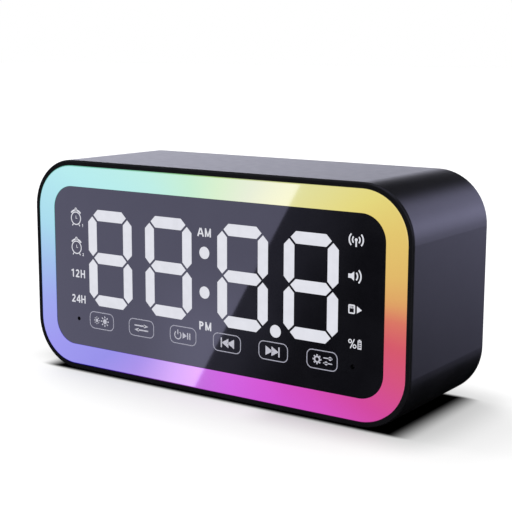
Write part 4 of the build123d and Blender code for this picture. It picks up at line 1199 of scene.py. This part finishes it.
def make_floor():
    """Pale floor that glows a little, with a painted contact shadow under the clock, a wider soft painted
    shadow on its shaded sides and a faint painted shade further out.
    """
    deselect()
    bpy.ops.mesh.primitive_plane_add(size=FLOOR_SIZE, location=(0, 0, 0))
    floor = bpy.context.object
    floor.name = "studio_floor"
    finish = Finish("pale_floor", FLOOR_PALE, 0.9, Specular_IOR_Level=0.0, Emission_Strength=FLOOR_GLOW)
    combine, product = finish.combine, finish.product

    def outside(*spans):
        """Rises from 0 at the start of both spans, counted from the middle, to 1 at their ends."""
        steps = []
        for axis, (start, end) in zip("XY", spans):
            beyond = combine("SUBTRACT", combine("ABSOLUTE", finish.axis(axis)), start * MM)
            share = combine("MAXIMUM", combine("DIVIDE", beyond, (end - start) * MM), 0.0)
            steps.append(product(share, share))
        return finish.fade(combine("SQRT", combine("ADD", *steps)), (0.0, 1.0))

    def along(axis, span):
        """Rises from 0 to 1 over a span of that axis."""
        return finish.fade(finish.axis(axis), [place * MM for place in span])

    # Painted contact shadow under the clock, a wider soft painted shadow on the shaded sides and a faint
    # painted shade further out; together they darken the floor's colour and its glow
    near = combine("SUBTRACT", 1.0, outside(SIDE_SHADOW_HALO, FRONT_SHADOW_HALO))
    shaded_sides = combine("MAXIMUM", along("X", SHADOW_HALO_START_X), along("Y", SHADOW_HALO_START_Y))
    shadow_halo = product(near, SHADOW_HALO_DEPTH, shaded_sides)
    far = product(outside(SIDE_SHADE, FRONT_SHADE), SHADE_DEPTH)
    pale = product(combine("SUBTRACT", 1.0, shadow_halo), combine("ADD", far, 1 - SHADE_DEPTH))
    tone = product(outside(SIDE_CONTACT_SHADOW, FRONT_CONTACT_SHADOW), pale)
    lit = shade(FLOOR_PALE, 1 - FLOOR_GLOW)
    finish.feed("Base Color", finish.ramp(tone, [(0.0, BLACK), (1.0, lit)]))
    finish.feed("Emission Color", finish.ramp(tone, [(0.0, BLACK), (1.0, WHITE)]))
    finish.material.cycles.emission_sampling = "NONE"
    floor.data.materials.append(finish.material)
    floor.visible_glossy = False


def only_mirrored(card):
    """Hides a studio card from everything but the gloss."""
    card.visible_camera = False
    card.visible_diffuse = False
    card.visible_shadow = False
    card.visible_transmission = False


def make_contact_shadow_card():
    """Black card on the floor under the clock, which only the gloss mirrors: painted shade standing in for
    the dark contact shadow in reflections.
    """
    deselect()
    bpy.ops.mesh.primitive_plane_add(size=1, location=Vector(CONTACT_SHADOW_CARD_MIDDLE) * MM)
    card = bpy.context.object
    card.name = "contact_shadow_card"
    card.scale = (CONTACT_SHADOW_CARD[0] * MM, CONTACT_SHADOW_CARD[1] * MM, 1)
    bpy.ops.object.transform_apply(location=False, rotation=False, scale=True)
    # Painted shade: black that the gloss mirrors in place of the contact shadow
    finish = Finish("painted_contact_shadow", BLACK, 1.0, Specular_IOR_Level=0.0)
    card.data.materials.append(finish.material)
    only_mirrored(card)


def make_reflection_card():
    """Bright studio card whose slanted edge is mirrored in the panel, with a dim tail beside the edge."""
    deselect()
    slope = (CARD_EDGE_TOP.x - CARD_EDGE_LOW.x) / (CARD_EDGE_TOP.y - CARD_EDGE_LOW.y)
    middle_x = (CARD_FAR_SIDE + CARD_NEAR_SIDE) / 2
    middle_z = (CARD_TOP + CARD_BOTTOM) / 2
    bpy.ops.mesh.primitive_plane_add(size=1, location=(middle_x, CARD_Y, middle_z), rotation=(UPRIGHT, 0, 0))
    card = bpy.context.object
    card.scale = (CARD_NEAR_SIDE - CARD_FAR_SIDE, CARD_TOP - CARD_BOTTOM, 1)
    bpy.ops.object.transform_apply(location=True, rotation=True, scale=True)
    card.name = "studio_card"
    light = Finish("studio_card_light", BLACK, 1.0, Specular_IOR_Level=0.0, Emission_Color=CARD_COLOUR)
    edge = light.product(light.combine("SUBTRACT", light.axis("Z"), CARD_EDGE_TOP.y), slope)
    beyond = light.combine("SUBTRACT", light.combine("SUBTRACT", light.axis("X"), CARD_EDGE_TOP.x), edge)
    lit = light.combine("LESS_THAN", beyond, 0.0)
    tail = light.fade(beyond, (0.0, CARD_TAIL), CARD_TAIL_SHARE, 0.0)
    lift_x = light.fade(light.axis("X"), CARD_LIFT_X)
    lift_z = light.fade(light.axis("Z"), CARD_LIFT_Z)
    lifted = light.combine("ADD", light.product(lift_x, CARD_LIFT, lift_z), 1.0)
    level = light.product(light.combine("MAXIMUM", tail, lit), light.product(lifted, CARD_LIGHT))
    light.feed("Emission Strength", level)
    light.material.cycles.emission_sampling = "NONE"
    card.data.materials.append(light.material)
    only_mirrored(card)


def make_world():
    """White studio for the eye and the matt surfaces; the gloss mirrors a dark room with a pale horizon."""
    world = bpy.data.worlds.new("studio")
    bpy.context.scene.world = world
    world.use_nodes = True
    studio = Nodes(world.node_tree)
    combine, product, fade = studio.combine, studio.product, studio.fade
    direction = studio.node("ShaderNodeTexCoord").outputs["Generated"]
    split = studio.node("ShaderNodeSeparateXYZ", {0: direction}).outputs
    across, back, up = split["X"], split["Y"], split["Z"]
    horizon = product(fade(up, HORIZON_FOOT), fade(up, HORIZON_TOP, 1.0, 0.0),
                      fade(across, HORIZON_SPAN, LEFT_HORIZON_LIGHT, RIGHT_HORIZON_LIGHT))
    softbox = product(fade(up, SOFTBOX_FOOT, 0.0, SOFTBOX_LIGHT), fade(up, SOFTBOX_TOP, 1.0, 0.0),
                      fade(across, SOFTBOX_SPAN))
    behind = product(combine("ADD", horizon, softbox), fade(back, REAR_BAND))
    before = product(fade(up, FRONT_FOOT), fade(up, FRONT_TOP, FRONT_HORIZON_LIGHT, 0.0),
                     fade(back, FRONT_BAND, 1.0, 0.0), fade(across, FRONT_SPAN, FRONT_LEFT_SHARE, 1.0))
    low_left = product(fade(up, LOW_LEFT_TOP, LOW_LEFT_LIGHT, 0.0), fade(across, LOW_LEFT_SPAN, 1.0, 0.0),
                       fade(back, LOW_LEFT_BAND))
    above = combine("ADD", fade(up, OVERHEAD_FOOT, 0.0, OVERHEAD_LIGHT), fade(up, ROOM_FOOT, 0.0, ROOM_LIGHT))
    mirrored = combine("ADD", combine("ADD", behind, low_left), combine("ADD", before, above))
    ray = studio.node("ShaderNodeLightPath").outputs
    tinted = studio.blended(fade(across, TINT_SPAN), LEFT_TINT, RIGHT_TINT)
    tint = studio.blended(ray["Is Glossy Ray"], WHITE, tinted)
    sky = fade(up, SKY_FOOT, 0.0, SKY_LIGHT)
    unseen = studio.node("ShaderNodeMix", {0: ray["Is Glossy Ray"], 2: sky, 3: mirrored}).outputs[0]
    level = studio.node("ShaderNodeMix", {0: ray["Is Camera Ray"], 2: unseen, 3: 1.0}).outputs[0]
    background = studio.tree.nodes["Background"]
    studio.tree.links.new(tint, background.inputs["Color"])
    studio.tree.links.new(level, background.inputs["Strength"])


def make_lights():
    """One broad key light from the upper left and a little behind, which the gloss does not mirror."""
    sun = bpy.data.lights.new("studio_key", "SUN")
    sun.energy = SUN_LIGHT
    sun.angle = math.radians(SUN_SPREAD)
    key = bpy.data.objects.new("studio_key", sun)
    bpy.context.scene.collection.objects.link(key)
    back_lean, right_lean = (math.radians(lean) for lean in SUN_LEAN)
    key.rotation_euler = (-back_lean, right_lean, 0)
    key.visible_glossy = False


def make_camera():
    azimuth = math.radians(CAMERA_AZIMUTH)
    elevation = math.radians(CAMERA_ELEVATION)
    flat = math.cos(elevation)
    back = Vector((math.sin(azimuth) * flat, -math.cos(azimuth) * flat, math.sin(elevation)))
    data = bpy.data.cameras.new("camera")
    data.lens = LENS
    data.sensor_width = SENSOR_WIDTH
    data.clip_start = CLIP_START * MM
    camera = bpy.data.objects.new("camera", data)
    bpy.context.scene.collection.objects.link(camera)
    camera.location = CAMERA_TARGET + back * CAMERA_DISTANCE
    look = (-back).to_track_quat("-Z", "Y")
    camera.rotation_euler = (look @ Quaternion((0, 0, 1), math.radians(CAMERA_ROLL))).to_euler()
    bpy.context.scene.camera = camera


paint_cad_nodes()
print_panel()
print_cover()
foam_pads()
foam_gasket()
rubber_boot()
rubber_surround()
cloth_spider()
stretched_mesh()
flat_ribbon()
soft_leads()
make_floor()
make_contact_shadow_card()
make_reflection_card()
make_world()
make_lights()
make_camera()
bpy.context.scene.view_settings.view_transform = "Standard"
